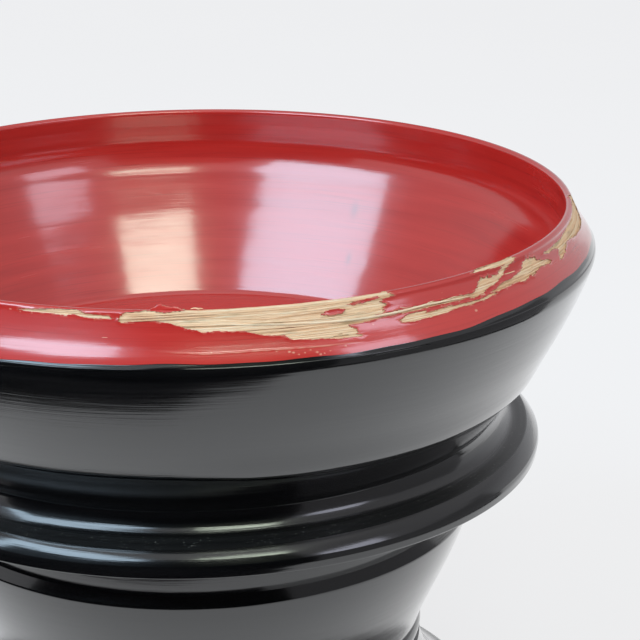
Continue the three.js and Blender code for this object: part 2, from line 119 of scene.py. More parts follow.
LIP_RADIUS = SHOULDER_RADIUS - LIP_INSET
ARRIS_RADIUS = SHOULDER_RADIUS - ARRIS_INSET
NECK_RADIUS = ARRIS_RADIUS - NECK_INSET
ARRIS_LEVEL = FLANGE_TOP + NECK_HEIGHT
NOSE_LEVEL = ARRIS_LEVEL + CONE_HEIGHT
print("crest", round(CREST, 1), "nose", round(NOSE_LEVEL, 1), "arris", round(ARRIS_LEVEL, 1))

# %% [markdown]
# An outline is an array of points. A few small tools draw it: a Bezier curve for each swelling,
# a join for stretches that meet, and an even spacing. Blender's own curves could do this, but an
# array can be measured, and the skins and strands that follow the rim can use it again.

# %% Tools for an outline
def at(radius, height):
    """A point of an outline."""
    return np.array([radius, height], float)


def curve(pulls, steps=16):
    """A Bezier curve through its first and last pull point, as an array of radius and height."""
    t = np.linspace(0, 1, steps + 1)[:, None]
    n = len(pulls) - 1
    return sum(math.comb(n, k) * t**k * (1 - t) ** (n - k) * pull for k, pull in enumerate(pulls))


def join(*stretches):
    """Stretches of outline end to end, with doubled points left out."""
    line = np.concatenate([np.atleast_2d(s) for s in stretches])
    keep = np.r_[True, np.linalg.norm(np.diff(line, axis=0), axis=1) > 1e-4]
    return line[keep]


def sideways(line, distance):
    """The line moved towards the axis where it runs down. A negative distance moves it away."""
    line = np.atleast_2d(line)
    along = np.gradient(line, axis=0)
    along /= np.linalg.norm(along, axis=1)[:, None]
    return line + distance * np.c_[along[:, 1], -along[:, 0]]


def towards(start, end, reach):
    """The point that lies reach millimetres from start on the way to end."""
    return start + (end - start) * reach / np.linalg.norm(end - start)


def run(line):
    """How far along the line each of its points lies."""
    return np.r_[0, np.cumsum(np.linalg.norm(np.diff(line, axis=0), axis=1))]


def spaced(line, step):
    """The same line with a point about every step millimetres, its corners kept soft."""
    lengths = run(line)
    places = np.linspace(0, lengths[-1], max(2, int(lengths[-1] / step) + 1))
    return np.c_[np.interp(places, lengths, line[:, 0]), np.interp(places, lengths, line[:, 1])]


corner_curve = curve([at(0, 0), at(10, 0), at(10, 10)])
print("a curve across a 10 mm square runs", round(run(corner_curve)[-1], 1), "mm")

# %% [markdown]
# Outside, the bowl goes over a thin round lip, down a band and a flare to the shoulder, and down
# a cone-shaped wall to the arris. In the frame a notch parts the band from the flare, as it parts
# the two windings. On the real bowl brushed lacquer has filled it, so that the lip's side is one
# line. How far its face looks up decides where it mirrors a window, so the line is drawn from
# those leans, and they were read from the highlights.

# %% Outline outside
RIM_THICKNESS = 4.0
LIP_BAND_HEIGHT = 9.4
LIP_BAND_LEAN = 3
NOTCH_STEP = 1.7
NOTCH_DROP = 0.6
BAND_PAST_NOTCH = 2
CONE_SWELL = 4
LIP_HALF = RIM_THICKNESS / 2
crest_arc = np.array([
    at(LIP_RADIUS + LIP_HALF * math.cos(t), CREST - LIP_HALF + LIP_HALF * math.sin(t))
    for t in np.linspace(math.pi, 0, 25)
])
band_top = crest_arc[-1]
band_foot = at(band_top[0] + LIP_BAND_LEAN, CREST - LIP_BAND_HEIGHT)
notch = at(band_foot[0] + NOTCH_STEP, band_foot[1] - NOTCH_DROP)
nose = at(SHOULDER_RADIUS, NOSE_LEVEL)
arris = at(ARRIS_RADIUS, ARRIS_LEVEL)


def leaning(start, end, leans):
    """A line from start to end. leans says how far its face looks up at shares of its length."""
    share = np.linspace(0, 1, 61)
    turn = np.radians(np.interp(share, *np.array(leans, float).T))
    steps = np.c_[np.sin(turn), -np.cos(turn)][1:]
    line = np.r_[[at(0, 0)], np.cumsum(steps, axis=0)]
    chord = end - start
    ratio = complex(*chord) / complex(*line[-1])
    fitted = (line[:, 0] + 1j * line[:, 1]) * ratio
    return start + np.c_[fitted.real, fitted.imag]


# Share of the way down, and degrees. The face looks up most a little above the painted line
SIDE_LEANS = [
    (0, 14), (0.06, 25), (0.3, 28), (0.45, 29.5), (0.56, 33.5), (0.68, 33.5), (0.78, 29),
    (0.9, 24), (1, 13),
]
lip_side = leaning(band_top, nose, SIDE_LEANS)
band_rows = len(lip_side[lip_side[:, 1] > notch[1] - BAND_PAST_NOTCH])
lip_band = lip_side[:band_rows]
flare = lip_side[band_rows - 1:]
cone = curve([nose, (nose + arris) / 2 + at(CONE_SWELL, 0), arris], 40)
print("lip side", round(run(lip_side)[-1], 1), "mm long, wall", round(run(cone)[-1], 1), "mm long")

# %% [markdown]
# Inside, the wall lies its thickness behind the outside, thin at the lip and thick where the
# shoulder hoop backs the strips. A hollow softens the corner behind the shoulder, and a tight
# bend leads to the flat floor. From one level up the wall stands a hair steeper, too little to
# see as shape, but the windows' reflections end there.

# %% Outline inside
SHOULDER_THICKNESS = 6.3
WALL_THICKNESS = 5.6
WALL_FOOT_THICKNESS = 10
HOLLOW_START = 8
HOLLOW_REACH = 15
WALL_SWELL = 2
FLOOR_BEND = 3
STEP_LEVEL = 242.5
STEP_SLOPE = 0.032
FLARE_OUTWARD = at(0.83, 0.56)
CONE_OUTWARD = at(0.9, -0.44)
flare_inside = [point - FLARE_OUTWARD * SHOULDER_THICKNESS for point in (notch, nose)]
cone_inside = [nose - CONE_OUTWARD * WALL_THICKNESS, arris - CONE_OUTWARD * WALL_FOOT_THICKNESS]


def crossing(first, second):
    """Where two straight lines cross."""
    (a, b), (c, d) = first, second
    steps = np.array([b - a, c - d]).T
    return a + (b - a) * np.linalg.solve(steps, c - a)[0]


hollow_corner = crossing(flare_inside, cone_inside)
hollow = curve([
    towards(hollow_corner, flare_inside[0], HOLLOW_START),
    hollow_corner,
    towards(hollow_corner, cone_inside[1], HOLLOW_REACH),
])
floor_corner = crossing(cone_inside, (at(0, FLOOR_LEVEL), at(1, FLOOR_LEVEL)))
wall_end = towards(floor_corner, cone_inside[0], FLOOR_BEND)
wall = curve([hollow[-1], (hollow[-1] + wall_end) / 2 + at(WALL_SWELL, 0), wall_end], 30)
wall[:, 0] -= STEP_SLOPE * np.clip(wall[:, 1] - STEP_LEVEL, 0, None)
hollow[:, 0] -= STEP_SLOPE * (hollow[-1, 1] - STEP_LEVEL)
bend = curve([wall_end, floor_corner, at(floor_corner[0] - FLOOR_BEND, FLOOR_LEVEL)])
# Measured level, a leaning wall is this much thicker than it is straight across
SLANT = 1.08
lip_inside = join(crest_arc[0], at(band_foot[0] - RIM_THICKNESS * SLANT, band_foot[1]))
lining = join(lip_inside, hollow, wall, bend, at(0.5, FLOOR_LEVEL))
print("lining runs", round(run(lining)[-1]), "mm from the lip to the middle of the floor")

# %% [markdown]
# Nothing painted by hand is perfectly round. The wound core shrinks and swells, and the putty
# is rubbed down by hand, so that a highlight wanders along the edge. A displace modifier with a
# cloud texture could do it, but it would move the seams between pieces apart. Here one field of
# slow waves, given by angle and place, moves all the round pieces alike, and only inwards, so
# that nothing grows past the frame.

# %% Hand-made unevenness
rng = np.random.default_rng(7)
WAVES = [(k, rng.uniform(0.35, 1) / k**0.6, rng.uniform(0, 2 * math.pi)) for k in range(2, 15)]
UNEVENNESS = 0.16
# How fast the waves turn with level and with radius, in radians to the millimetre
TURN_WITH_LEVEL, TURN_WITH_RADIUS = 0.011, 0.017


def unevenness(azimuth, radius, height):
    """How far the surface lies inside its ideal place, in millimetres, at a point in degrees."""
    turn = np.radians(azimuth)
    field = 0
    for k, strength, phase in WAVES:
        drift = phase + height * TURN_WITH_LEVEL * (k % 4) + radius * TURN_WITH_RADIUS * (k % 3)
        field = field + strength * np.cos(k * turn + drift)
    reach = sum(strength for _, strength, _ in WAVES)
    return UNEVENNESS * (field / reach - 1)


print("surfaces wander inwards by up to", 2 * UNEVENNESS, "mm")

# %% [markdown]
# A round skin is a grid: rows follow the outline, and columns go round the axis. A screw modifier
# makes such a grid too, but here each corner also carries its lay, the place where it would lie
# if the surface were unrolled, in millimetres. Brush lines and fibres are drawn on that lay, so
# they have their real width and follow the rim.
# A fault is left here: the faces of the skins, strands and rings look into the body. Both sides
# of a face are drawn alike, so no picture shows it, but a program that hides backs would.

# %% Laying out a mesh
def place_of(azimuth, radius, height):
    """Metres in the frame. Azimuth is in degrees, 0 at the front (-Y), positive to the right."""
    turn = np.radians(azimuth)
    return np.stack([radius * np.sin(turn), -radius * np.cos(turn), height + 0 * turn], -1) * MM


def new_mesh(name, corners, faces, materials, face_material=None, lay=None):
    """A smooth mesh object. lay is where each corner lies on the worked surface, in mm."""
    mesh = bpy.data.meshes.new(name)
    mesh.from_pydata(np.asarray(corners).tolist(), [], np.asarray(faces).tolist())
    for material in materials:
        mesh.materials.append(material)
    if face_material is not None:
        mesh.polygons.foreach_set("material_index", np.asarray(face_material, np.int32))
    mesh.polygons.foreach_set("use_smooth", np.ones(len(mesh.polygons), bool))
    if lay is not None:
        attribute = mesh.attributes.new("lay", "FLOAT_VECTOR", "POINT")
        attribute.data.foreach_set("vector", np.asarray(lay, np.float32).ravel())
    mesh.update()
    piece = bpy.data.objects.new(name, mesh)
    bpy.context.scene.collection.objects.link(piece)
    return piece


def grid_faces(rows, columns, closed):
    """Quads of a grid of corners. A closed grid joins its last column to its first."""
    across = np.arange(columns if closed else columns - 1)
    i, j = np.meshgrid(np.arange(rows - 1), across, indexing="ij")
    here, after = i * columns + j, i * columns + (j + 1) % columns
    return np.stack([here, after, after + columns, here + columns], -1)


BRUSH_RADIUS = 200


def brush_place(azimuth, distance):
    """The lay for a brush that runs round the bowl: a place on a circle, and a distance."""
    turn = np.radians(azimuth)
    around = np.stack([BRUSH_RADIUS * np.cos(turn), BRUSH_RADIUS * np.sin(turn)], -1)
    return np.concatenate([around, (distance + 0 * turn)[..., None]], -1)


print("one degree of lay is", round(math.radians(BRUSH_RADIUS), 2), "mm")

# %% [markdown]
# Materials are built from nodes. Colours are written as the sRGB hex values that a painter would
# pick, and one function turns them into the linear numbers that shaders use. Another small
# function adds a node with its settings and its links, so that each material below reads as a
# list of what it is made of.

# %% Colours and nodes
def linear(hex_colour):
    """An sRGB hex colour as the linear colour of a shader."""
    channels = [int(hex_colour[i:i + 2], 16) / 255 for i in (1, 3, 5)]
    return [c / 12.92 if c <= 0.04045 else ((c + 0.055) / 1.055) ** 2.4 for c in channels] + [1]


def in_use(sockets, name):
    """The socket of that name or number that the node's settings leave in use."""
    if isinstance(name, int):
        return sockets[name]
    return next(socket for socket in sockets if socket.enabled and socket.name == name)


def node(tree, kind, inputs=None, tones=(), **settings):
    """Adds a node. An input is a number, a hex colour, or a node or an output to link from."""
    made = tree.nodes.new(kind)
    for name, value in settings.items():
        setattr(made, name, value)
    for name, value in (inputs or {}).items():
        socket = in_use(made.inputs, name)
        if isinstance(value, bpy.types.Node):
            value = next(output for output in value.outputs if output.enabled)
        if isinstance(value, bpy.types.NodeSocket):
            tree.links.new(value, socket)
        else:
            socket.default_value = linear(value) if isinstance(value, str) else value
    # tones are the places and colours of a colour ramp
    for number, (position, colour) in enumerate(tones):
        stops = made.color_ramp.elements
        stop = stops[number] if number < len(stops) else stops.new(position)
        stop.position = position
        stop.color = linear(colour)
    return made


def new_material(name):
    """A material with an empty tree, ready for its nodes."""
    material = bpy.data.materials.new(name)
    material.use_nodes = True
    material.node_tree.nodes.clear()
    return material, material.node_tree


def brush_lines(tree, along_mm, across_mm, detail):
    """Noise drawn out along the way of the brush, which runs round the bowl, in real sizes."""
    lay = node(tree, "ShaderNodeAttribute", attribute_name="lay")
    stretched = node(tree, "ShaderNodeVectorMath", {
        0: lay.outputs["Vector"],
        1: (1 / along_mm, 1 / along_mm, 1 / across_mm),
    }, operation="MULTIPLY")
    return node(tree, "ShaderNodeTexNoise", {"Vector": stretched, "Scale": 1.0, "Detail": detail})


print("a vermilion in linear light:", [round(c, 3) for c in linear("#BE2824")[:3]])

# %% [markdown]
# Cinnabar lacquer is tree sap coloured with vermilion. It is brushed on round the bowl in many
# thin coats and left to harden, so it is glossy and deep, with fine brush lines that follow the
# rim. Its gloss is soft, because it isn't polished to a mirror after the last coat. Two layers of
# gloss in the shader give that: a broad one from the body and a sharper one from the coat.

# %% Red lacquer
red_lacquer, tree = new_material("cinnabar_lacquer")
fine_lines = brush_lines(tree, along_mm=70, across_mm=0.7, detail=3.0)
broad_lines = brush_lines(tree, along_mm=120, across_mm=6, detail=3.0)
clouds = brush_lines(tree, along_mm=45, across_mm=30, detail=2.0)
# Bands of thicker and thinner colour, then warmer clouds, then the dark of single lines. Each
# row is a pattern, where it starts and is full, how strong it gets, and its colour
RED_LAYERS = [
    (broad_lines, 0.3, 0.7, 1.0, "#D0322B"),
    (clouds, 0.35, 0.75, 0.55, "#CC352D"),
    (fine_lines, 0.56, 0.8, 0.4, "#8C1715"),
]
red = "#BE2824"
for pattern, start, full, strength, colour in RED_LAYERS:
    share = node(tree, "ShaderNodeMapRange", {
        "Value": pattern,
        "From Min": start,
        "From Max": full,
        "To Max": strength,
    })
    red = node(tree, "ShaderNodeMix", {"Factor": share, "A": red, "B": colour}, data_type="RGBA")
# Marks that the mesh carries: pale where the skin is scuffed and as a painted highlight along the ridge
# on the flare, dark where it is smudged
for mark, colour in (("wear_and_highlight", "#E59B82"), ("stain", "#3E0C0C")):
    marked = node(tree, "ShaderNodeAttribute", attribute_name=mark).outputs["Fac"]
    red = node(tree, "ShaderNodeMix", {"Factor": marked, "A": red, "B": colour}, data_type="RGBA")
gloss = node(tree, "ShaderNodeMapRange", {
    "Value": broad_lines,
    "From Min": 0.3,
    "From Max": 0.75,
    "To Min": 0.2,
    "To Max": 0.28,
})
# Depths in metres: brush lines are hundredths of a millimetre deep, the slow clouds ten times
lower_bump = {}
for pattern, strength, deep in ((fine_lines, 0.5, 4e-5), (broad_lines, 0.6, 8e-5), (clouds, 0.6, 45e-5)):
    brushed = node(tree, "ShaderNodeBump", {
        "Strength": strength,
        "Distance": deep,
        "Height": pattern,
        **lower_bump,
    })
    lower_bump = {"Normal": brushed}
sap = node(tree, "ShaderNodeBsdfPrincipled", {
    "Base Color": red,
    "Roughness": gloss,
    "IOR": 1.52,
    "Normal": brushed,
    "Coat Weight": 1.0,
    "Coat Roughness": 0.11,
    "Coat IOR": 1.7,
    "Coat Normal": brushed,
})
node(tree, "ShaderNodeOutputMaterial", {"Surface": sap})
print(red_lacquer.name, len(tree.nodes), "nodes")

# %% [markdown]
# Black lacquer is the same sap, blackened with iron or soot. It mirrors the room almost sharply,
# with soft brush lines in it. Faces that look up have gathered dust, which blinds their gloss and
# leaves specks. They are drawn about 0.6 mm wide, coarser than most real dust, because finer ones
# wouldn't show from here.

# %% Black lacquer
black_lacquer, tree = new_material("black_lacquer")
fine_lines = brush_lines(tree, along_mm=60, across_mm=0.8, detail=3.0)
broad_lines = brush_lines(tree, along_mm=110, across_mm=5, detail=3.0)
black = node(tree, "ShaderNodeMix", {
    "Factor": node(tree, "ShaderNodeMapRange", {
        "Value": broad_lines,
        "From Min": 0.3,
        "From Max": 0.8,
    }),
    "A": "#070708",
    "B": "#121112",
}, data_type="RGBA")
lay = node(tree, "ShaderNodeAttribute", attribute_name="lay")
speck = node(tree, "ShaderNodeTexVoronoi", {"Vector": lay.outputs["Vector"], "Scale": 0.55})
speck = node(tree, "ShaderNodeMapRange", {
    "Value": speck.outputs["Distance"],
    "From Min": 0.1,
    "From Max": 0.22,
    "To Min": 1.0,
    "To Max": 0.0,
})
dusty = node(tree, "ShaderNodeTexNoise", {
    "Vector": lay.outputs["Vector"],
    "Scale": 0.11,
    "Detail": 3.0,
})
dusty = node(tree, "ShaderNodeMapRange", {"Value": dusty, "From Min": 0.45, "From Max": 0.62})
normal = node(tree, "ShaderNodeNewGeometry").outputs["Normal"]
upright = node(tree, "ShaderNodeSeparateXYZ", {"Vector": normal}).outputs["Z"]
settled = node(tree, "ShaderNodeMapRange", {"Value": upright, "From Min": 0.8, "From Max": 0.96})
dust = node(tree, "ShaderNodeMath", {0: speck, 1: dusty}, operation="MULTIPLY")
dust = node(tree, "ShaderNodeMath", {0: dust, 1: settled}, operation="MULTIPLY")
black = node(tree, "ShaderNodeMix", {"Factor": dust, "A": black, "B": "#8D8C88"}, data_type="RGBA")
gloss = node(tree, "ShaderNodeMapRange", {
    "Value": broad_lines,
    "From Min": 0.3,
    "From Max": 0.75,
    "To Min": 0.14,
    "To Max": 0.24,
})
# Where dust has settled the gloss is blind
gloss = node(tree, "ShaderNodeMix", {"Factor": settled, "A": gloss, "B": 0.5})
coat_gloss = node(tree, "ShaderNodeMix", {"Factor": settled, "A": 0.1, "B": 0.36})
lower_bump = {}
for pattern, deep in ((fine_lines, 6e-5), (broad_lines, 7e-5)):
    brushed = node(tree, "ShaderNodeBump", {
        "Strength": 0.6,
        "Distance": deep,
        "Height": pattern,
        **lower_bump,
    })
    lower_bump = {"Normal": brushed}
sap = node(tree, "ShaderNodeBsdfPrincipled", {
    "Base Color": black,
    "Roughness": gloss,
    "IOR": 1.5,
    "Normal": brushed,
    "Coat Weight": 1.0,
    "Coat Roughness": coat_gloss,
    "Coat IOR": 1.52,
    "Coat Normal": brushed,
})
node(tree, "ShaderNodeOutputMaterial", {"Surface": sap})
print(black_lacquer.name, len(tree.nodes), "nodes")

# %% [markdown]
# Where lacquer breaks, its edge shows the ground under the colour: bamboo dust and ash in sap,
# pale and crumbly, with dark seams of raw sap.

# %% Broken edge of the lacquer
ash_putty, tree = new_material("ash_putty")
grit = node(tree, "ShaderNodeTexNoise", {
    "Vector": node(tree, "ShaderNodeTexCoord").outputs["Object"],
    "Scale": 900.0,
    "Detail": 3.0,
})
# 900 to the metre is a crumb of about 1 mm, and the detail breaks it up finer
crumb = node(tree, "ShaderNodeMix", {
    "Factor": node(tree, "ShaderNodeMapRange", {"Value": grit, "From Min": 0.4, "From Max": 0.62}),
    "A": "#8A4A34",
    "B": "#DCC197",
}, data_type="RGBA")
crust = node(tree, "ShaderNodeBsdfPrincipled", {"Base Color": crumb, "Roughness": 0.8, "IOR": 1.5})
node(tree, "ShaderNodeOutputMaterial", {"Surface": crust})
print(ash_putty.name, len(tree.nodes), "nodes")

# %% [markdown]
# Split bamboo is a bundle of long parallel fibres. Bare, it is matt and straw coloured, with
# paler fibres that have sprung loose and darker ones where sap soaked in. Each strand below has
# its own tone, kept on the mesh, and the shader adds the fibres inside a strand, 0.12 mm wide.

# %% Bare bamboo
bare_bamboo, tree = new_material("split_bamboo")
tone = node(tree, "ShaderNodeAttribute", attribute_name="tone")
fibres = brush_lines(tree, along_mm=9, across_mm=0.12, detail=5.0)
stains = brush_lines(tree, along_mm=14, across_mm=2.2, detail=3.0)
fibre_tone = node(tree, "ShaderNodeMapRange", {
    "Value": fibres,
    "From Min": 0.25,
    "From Max": 0.75,
    "To Min": -0.36,
    "To Max": 0.36,
})
mottled = node(tree, "ShaderNodeMath", {0: tone.outputs["Fac"], 1: fibre_tone})
STRAW_TONES = (
    (0.0, "#9A744F"), (0.3, "#D0A079"), (0.55, "#F0C198"), (0.8, "#FAD5AD"), (1.0, "#FFE9CB"),
)
straw = node(tree, "ShaderNodeValToRGB", {"Fac": mottled}, tones=STRAW_TONES)
wood = node(tree, "ShaderNodeMix", {
    "Factor": node(tree, "ShaderNodeMapRange", {
        "Value": stains,
        "From Min": 0.56,
        "From Max": 0.74,
        "To Max": 0.6,
    }),
    "A": straw,
    "B": "#A3926E",
}, data_type="RGBA")
fibrous = node(tree, "ShaderNodeBump", {
    "Strength": 1.0,
    "Distance": 0.00022,
    "Height": fibres,
})
bundle = node(tree, "ShaderNodeBsdfPrincipled", {
    "Base Color": wood,
    "Roughness": 0.72,
    "IOR": 1.5,
    "Normal": fibrous,
})
node(tree, "ShaderNodeOutputMaterial", {"Surface": bundle})
print(bare_bamboo.name, len(tree.nodes), "nodes")

# %% [markdown]
# Inside the wall the bamboo is wound flat, edge on edge, and its joints are filled with dark
# putty. Only the underside of the bowl, the strips under a chip and the ends of the pegs show
# it. Wound strips are 3 mm wide, so the dark joints come every 3 mm of height.

# %% Wound core
wound_core, tree = new_material("wound_bamboo_core")
place_mm = node(tree, "ShaderNodeVectorMath", {
    0: node(tree, "ShaderNodeTexCoord").outputs["Object"],
    1: (1000, 1000, 1000),
}, operation="MULTIPLY")
# This texture draws a band every 2 pi / (20 x scale)
WAVE_FACTOR = 20
STRIP_MM = 3
joints = node(tree, "ShaderNodeTexWave", {
    "Vector": place_mm,
    "Scale": 2 * math.pi / WAVE_FACTOR / STRIP_MM,
    "Distortion": 0.8,
    "Detail": 2.0,
}, bands_direction="Z")
grain = node(tree, "ShaderNodeTexNoise", {"Vector": place_mm, "Scale": 0.26, "Detail": 4.0})
core = node(tree, "ShaderNodeMix", {
    "Factor": node(tree, "ShaderNodeMapRange", {"Value": grain, "From Min": 0.3, "From Max": 0.7}),
    "A": "#6B5230",
    "B": "#9C8453",
}, data_type="RGBA")
core = node(tree, "ShaderNodeMix", {
    "Factor": node(tree, "ShaderNodeMapRange", {
        "Value": joints.outputs["Fac"],
        "From Min": 0.0,
        "From Max": 0.3,
        "To Min": 1.0,
        "To Max": 0.0,
    }),
    "A": core,
    "B": "#241A12",
}, data_type="RGBA")
ribbed = node(tree, "ShaderNodeBump", {
    "Strength": 0.6,
    "Distance": 0.0003,
    "Height": joints.outputs["Fac"],
})
hoop = node(tree, "ShaderNodeBsdfPrincipled", {
    "Base Color": core,
    "Roughness": 0.8,
    "IOR": 1.5,
    "Normal": ribbed,
})
node(tree, "ShaderNodeOutputMaterial", {"Surface": hoop})
print(wound_core.name, len(tree.nodes), "nodes")

# %% [markdown]
# The core's rings and the wound strips are shown as the frame has them. Their shape is right, so
# they only get their material: the dark core for the rings, bare bamboo for strips and pegs.

# %% Materials for the frame's own pieces
for name in ("bowl_wall_upper", "bowl_wall_lower", "bowl_floor", "neck_ring", "shoulder_hoop"):
    bpy.data.objects[name].data.materials[0] = wound_core
for name in ["lip_winding", "shoulder_winding"] + [f"neck_peg_{n}" for n in range(1, 7)]:
    bpy.data.objects[name].data.materials[0] = bare_bamboo
print("materials", [m.name for m in bpy.data.materials if m.use_nodes])

# %% [markdown]
# Red meets black along a line that was painted by eye, so it rises and falls by a few
# millimetres round the bowl. Its depth below the crest is given at a few azimuths, measured on
# the photograph where it shows, and smoothed in between. The red skin ends on that line and the
# black one starts on it, so there is no step and no jagged mask.

# %% The painted line
PAINT_LINE = [
    (-180, 19.6), (-130, 20.2), (-75, 19.7), (-45, 20.6), (-24, 21.0), (-14, 19.8), (-4, 19.2),
    (3, 19.4), (10, 19.9), (16, 19.9), (21, 19.5), (26, 19.8), (31, 19.9), (38, 19.1), (51, 17.8),
    (66, 17.6), (80, 17.8), (100, 18.2), (140, 18.9), (180, 19.6),
]
PAINT_LOWEST = 21.0


def paint_drop(azimuth):
    """How far the painted line lies below the crest, in millimetres."""
    azimuths, drops = np.array(PAINT_LINE).T
    shifted = [(azimuth + side + 180) % 360 - 180 for side in (-6, -3, 0, 3, 6)]
    smooth = np.mean([np.interp(a, azimuths, drops) for a in shifted], axis=0)
    smooth += 0.18 * np.sin(np.radians(azimuth) * 23) + 0.12 * np.sin(np.radians(azimuth) * 41 + 1)
    return np.minimum(smooth, PAINT_LOWEST)


print("red ends", round(float(paint_drop(0)), 1), "mm below the crest at the front")

# %% [markdown]
# The chips are the heart of this bowl. Each is a closed outline on the rim, as azimuth in
# degrees and depth below the crest in millimetres; a negative depth is on the inner side of the
# lip. A boolean cut would leave clean, knife-like edges. Here the skin is a fine grid, and its
# cells inside an outline are left out, after a little noise has torn the outline along the
# fibres, as brittle lacquer breaks over bamboo.

# %% Outlines of the chips
CHIPS = {
    "front": [
        (-9.8, 2.6), (-9.0, 0.7), (-6.0, 0.3), (-4.1, 0.6), (-2.0, 0.5), (-1.2, -0.8), (3, -2.0),
        (8, -3.2), (14, -3.4), (18, -2.6), (21, -1.6), (24.6, -0.9), (26.0, 0.4), (26.1, 1.7),
        (24.5, 2.5), (24.4, 3.4), (25.0, 4.6), (24.2, 5.4), (24.4, 7.4), (19.2, 9.2), (20.6, 14.3),
        (18.0, 14.4), (14.8, 13.4), (11.6, 12.8), (10.9, 10.9), (8.6, 10.6), (7.4, 9.7), (6.0, 8.5),
        (2.9, 8.0), (0.9, 8.2), (-1.1, 6.9), (-2.7, 5.2), (-4.7, 3.8), (-6.7, 3.4), (-9.4, 4.9),
    ],
    "left_sliver": [
        (-23.1, 2.1), (-21.4, 1.7), (-19.5, 1.0), (-17.5, 0.9), (-14.3, 0.6), (-13.9, 1.7),
        (-12.6, 2.1), (-10.7, 2.3), (-10.3, 3.4), (-13.0, 3.5), (-14.6, 3.0), (-15.4, 2.4),
        (-16.3, 3.0), (-18.0, 2.6), (-20.0, 2.5), (-22.1, 2.6),
    ],
    "splinter": [
        (19, 8.0), (23.7, 7.9), (26.7, 7.5), (29.8, 7.4), (31.8, 6.8), (32.6, 7.3), (34.8, 7.1),
        (36.9, 7.6), (39.8, 8.0), (39.8, 9.1), (36, 9.1), (31.4, 8.8), (26.2, 8.8), (22.6, 9.3),
        (19, 9.9),
    ],
    "crest_strip": [
        (39.8, 0.4), (42, -0.3), (45, -0.8), (48.2, -0.8), (49.2, 0.4), (48.6, 1.3), (47.2, 2.4),
        (46.2, 1.4), (44, 1.1), (41.5, 0.9),
    ],
    "branch": [
        (46.6, 1.2), (47.4, 2.2), (46.6, 3.4), (45.4, 4.8), (44.6, 6.0), (43.6, 7.0), (42.0, 8.0),
        (40.6, 9.2), (38.8, 9.8), (38.0, 9.2), (38.9, 7.8), (39.6, 6.6), (40.3, 4.6), (41.1, 2.8),
        (41.6, 4.2), (42.2, 3.0), (42.6, 4.8), (43.5, 3.6), (44.3, 4.4), (45.2, 2.8), (45.9, 1.6),
    ],
    "low_strip": [
        (26.4, 11.7), (27.2, 10.1), (28.4, 9.5), (30.2, 9.8), (30.6, 10.6), (32.4, 10.5), (34.6, 10.1),
        (36, 10.6), (37.6, 10.7), (39.6, 10.8), (41.4, 10.6), (43.1, 10.3), (42.4, 11.2), (40.7, 11.7),
        (37.6, 11.8), (34.6, 11.6), (33.2, 12.1), (30.5, 12.4), (28.2, 12.6), (26.8, 12.4),
    ],
    "flag": [
        (42.3, 9.7), (44, 8.1), (46.5, 7.5), (48.6, 7.0), (49.8, 5.6), (50.9, 3.6), (51.6, 2.4),
        (52.1, 3.6), (52.9, 2.7), (53.4, 3.9), (54.0, 3.5), (54.3, 5.6), (55.6, 6.4), (57.2, 7.4),
        (58.2, 8.6), (57.1, 9.3), (55.8, 8.6), (54.5, 8.6), (52.9, 9.2), (51.8, 10.3), (50.9, 9.3),
        (49.3, 10.6), (47.8, 9.6), (45.5, 9.9), (43.4, 10.4),
    ],
    "right_end": [
        (56.3, 4.5), (59, 4.2), (63.9, 3.9), (66, 3.1), (70.6, 2.2), (75, 1.1), (79, 0.3), (83, 0.2),
        (86, 1.2), (85, 3.4), (82.5, 6.8), (80.3, 9.4), (76, 9.4), (72.9, 9.0), (69.5, 8.2),
        (67.5, 7.2), (65.5, 6.6), (64.6, 8.2), (63.4, 9.6), (61.6, 10.3), (60.6, 10.6), (60.9, 8.4),
        (61.6, 6.4), (60.0, 5.4), (57.8, 5.3),
    ],
}
# Islands of red that were left standing inside the front chip
ISLANDS = [
    [(15.8, 4.7), (16.8, 3.6), (18.5, 3.5), (19.3, 4.2), (18.4, 5.3), (16.6, 5.6)],
    [(19.4, 2.3), (21.2, 1.3), (24.0, 0.8), (24.1, 1.5), (22.2, 2.2), (20.2, 3.0)],
]
print(len(CHIPS), "chips and", len(ISLANDS), "islands of red")

# %% [markdown]
# Noise tears the outlines. It is worked out here and not in a texture, because it decides which
# cells of the mesh are left out. It is stretched along the rim, since lacquer tears that way.

# %% Torn edges
def cloud(x, y, cell_x, cell_y, seed):
    """Smooth random values from -1 to 1 over a plane, about one to a cell."""
    table = np.random.default_rng(seed).uniform(-1, 1, (64, 64))
    u, v = np.asarray(x) / cell_x, np.asarray(y) / cell_y
    i, j = np.floor(u).astype(int), np.floor(v).astype(int)
    s, t = u - i, v - j
    s, t = s * s * (3 - 2 * s), t * t * (3 - 2 * t)

    def corner(a, b):
        return table[(i + a) % 64, (j + b) % 64]

    low = corner(0, 0) * (1 - s) + corner(1, 0) * s
    high = corner(0, 1) * (1 - s) + corner(1, 1) * s
    return low * (1 - t) + high * t


def inside(outline, x, y):
    """True where a point lies inside a closed outline."""
    found = np.zeros(np.shape(x), bool)
    for (x0, y0), (x1, y1) in zip(outline, outline[1:] + outline[:1]):
        if y0 != y1:
            crosses = (y0 > y) != (y1 > y)
            found ^= crosses & (x < (x1 - x0) * (y - y0) / (y1 - y0) + x0)
    return found


def bare_at(azimuth, depth):
    """True where the lacquer is gone."""
    torn_azimuth = azimuth + 0.35 * cloud(azimuth, depth, 0.8, 0.45, 11)
    torn_azimuth = torn_azimuth + 0.14 * cloud(azimuth, depth, 0.3, 0.2, 12)
    torn_depth = depth + 0.22 * cloud(azimuth, depth, 1.3, 0.8, 13)
    torn_depth = torn_depth + 0.1 * cloud(azimuth, depth, 0.35, 0.35, 14)
    bare = np.zeros(np.shape(azimuth), bool)
    for outline in CHIPS.values():
        bare |= inside(outline, torn_azimuth, torn_depth)
    for outline in ISLANDS:
        bare &= ~inside(outline, torn_azimuth, torn_depth)
    return bare


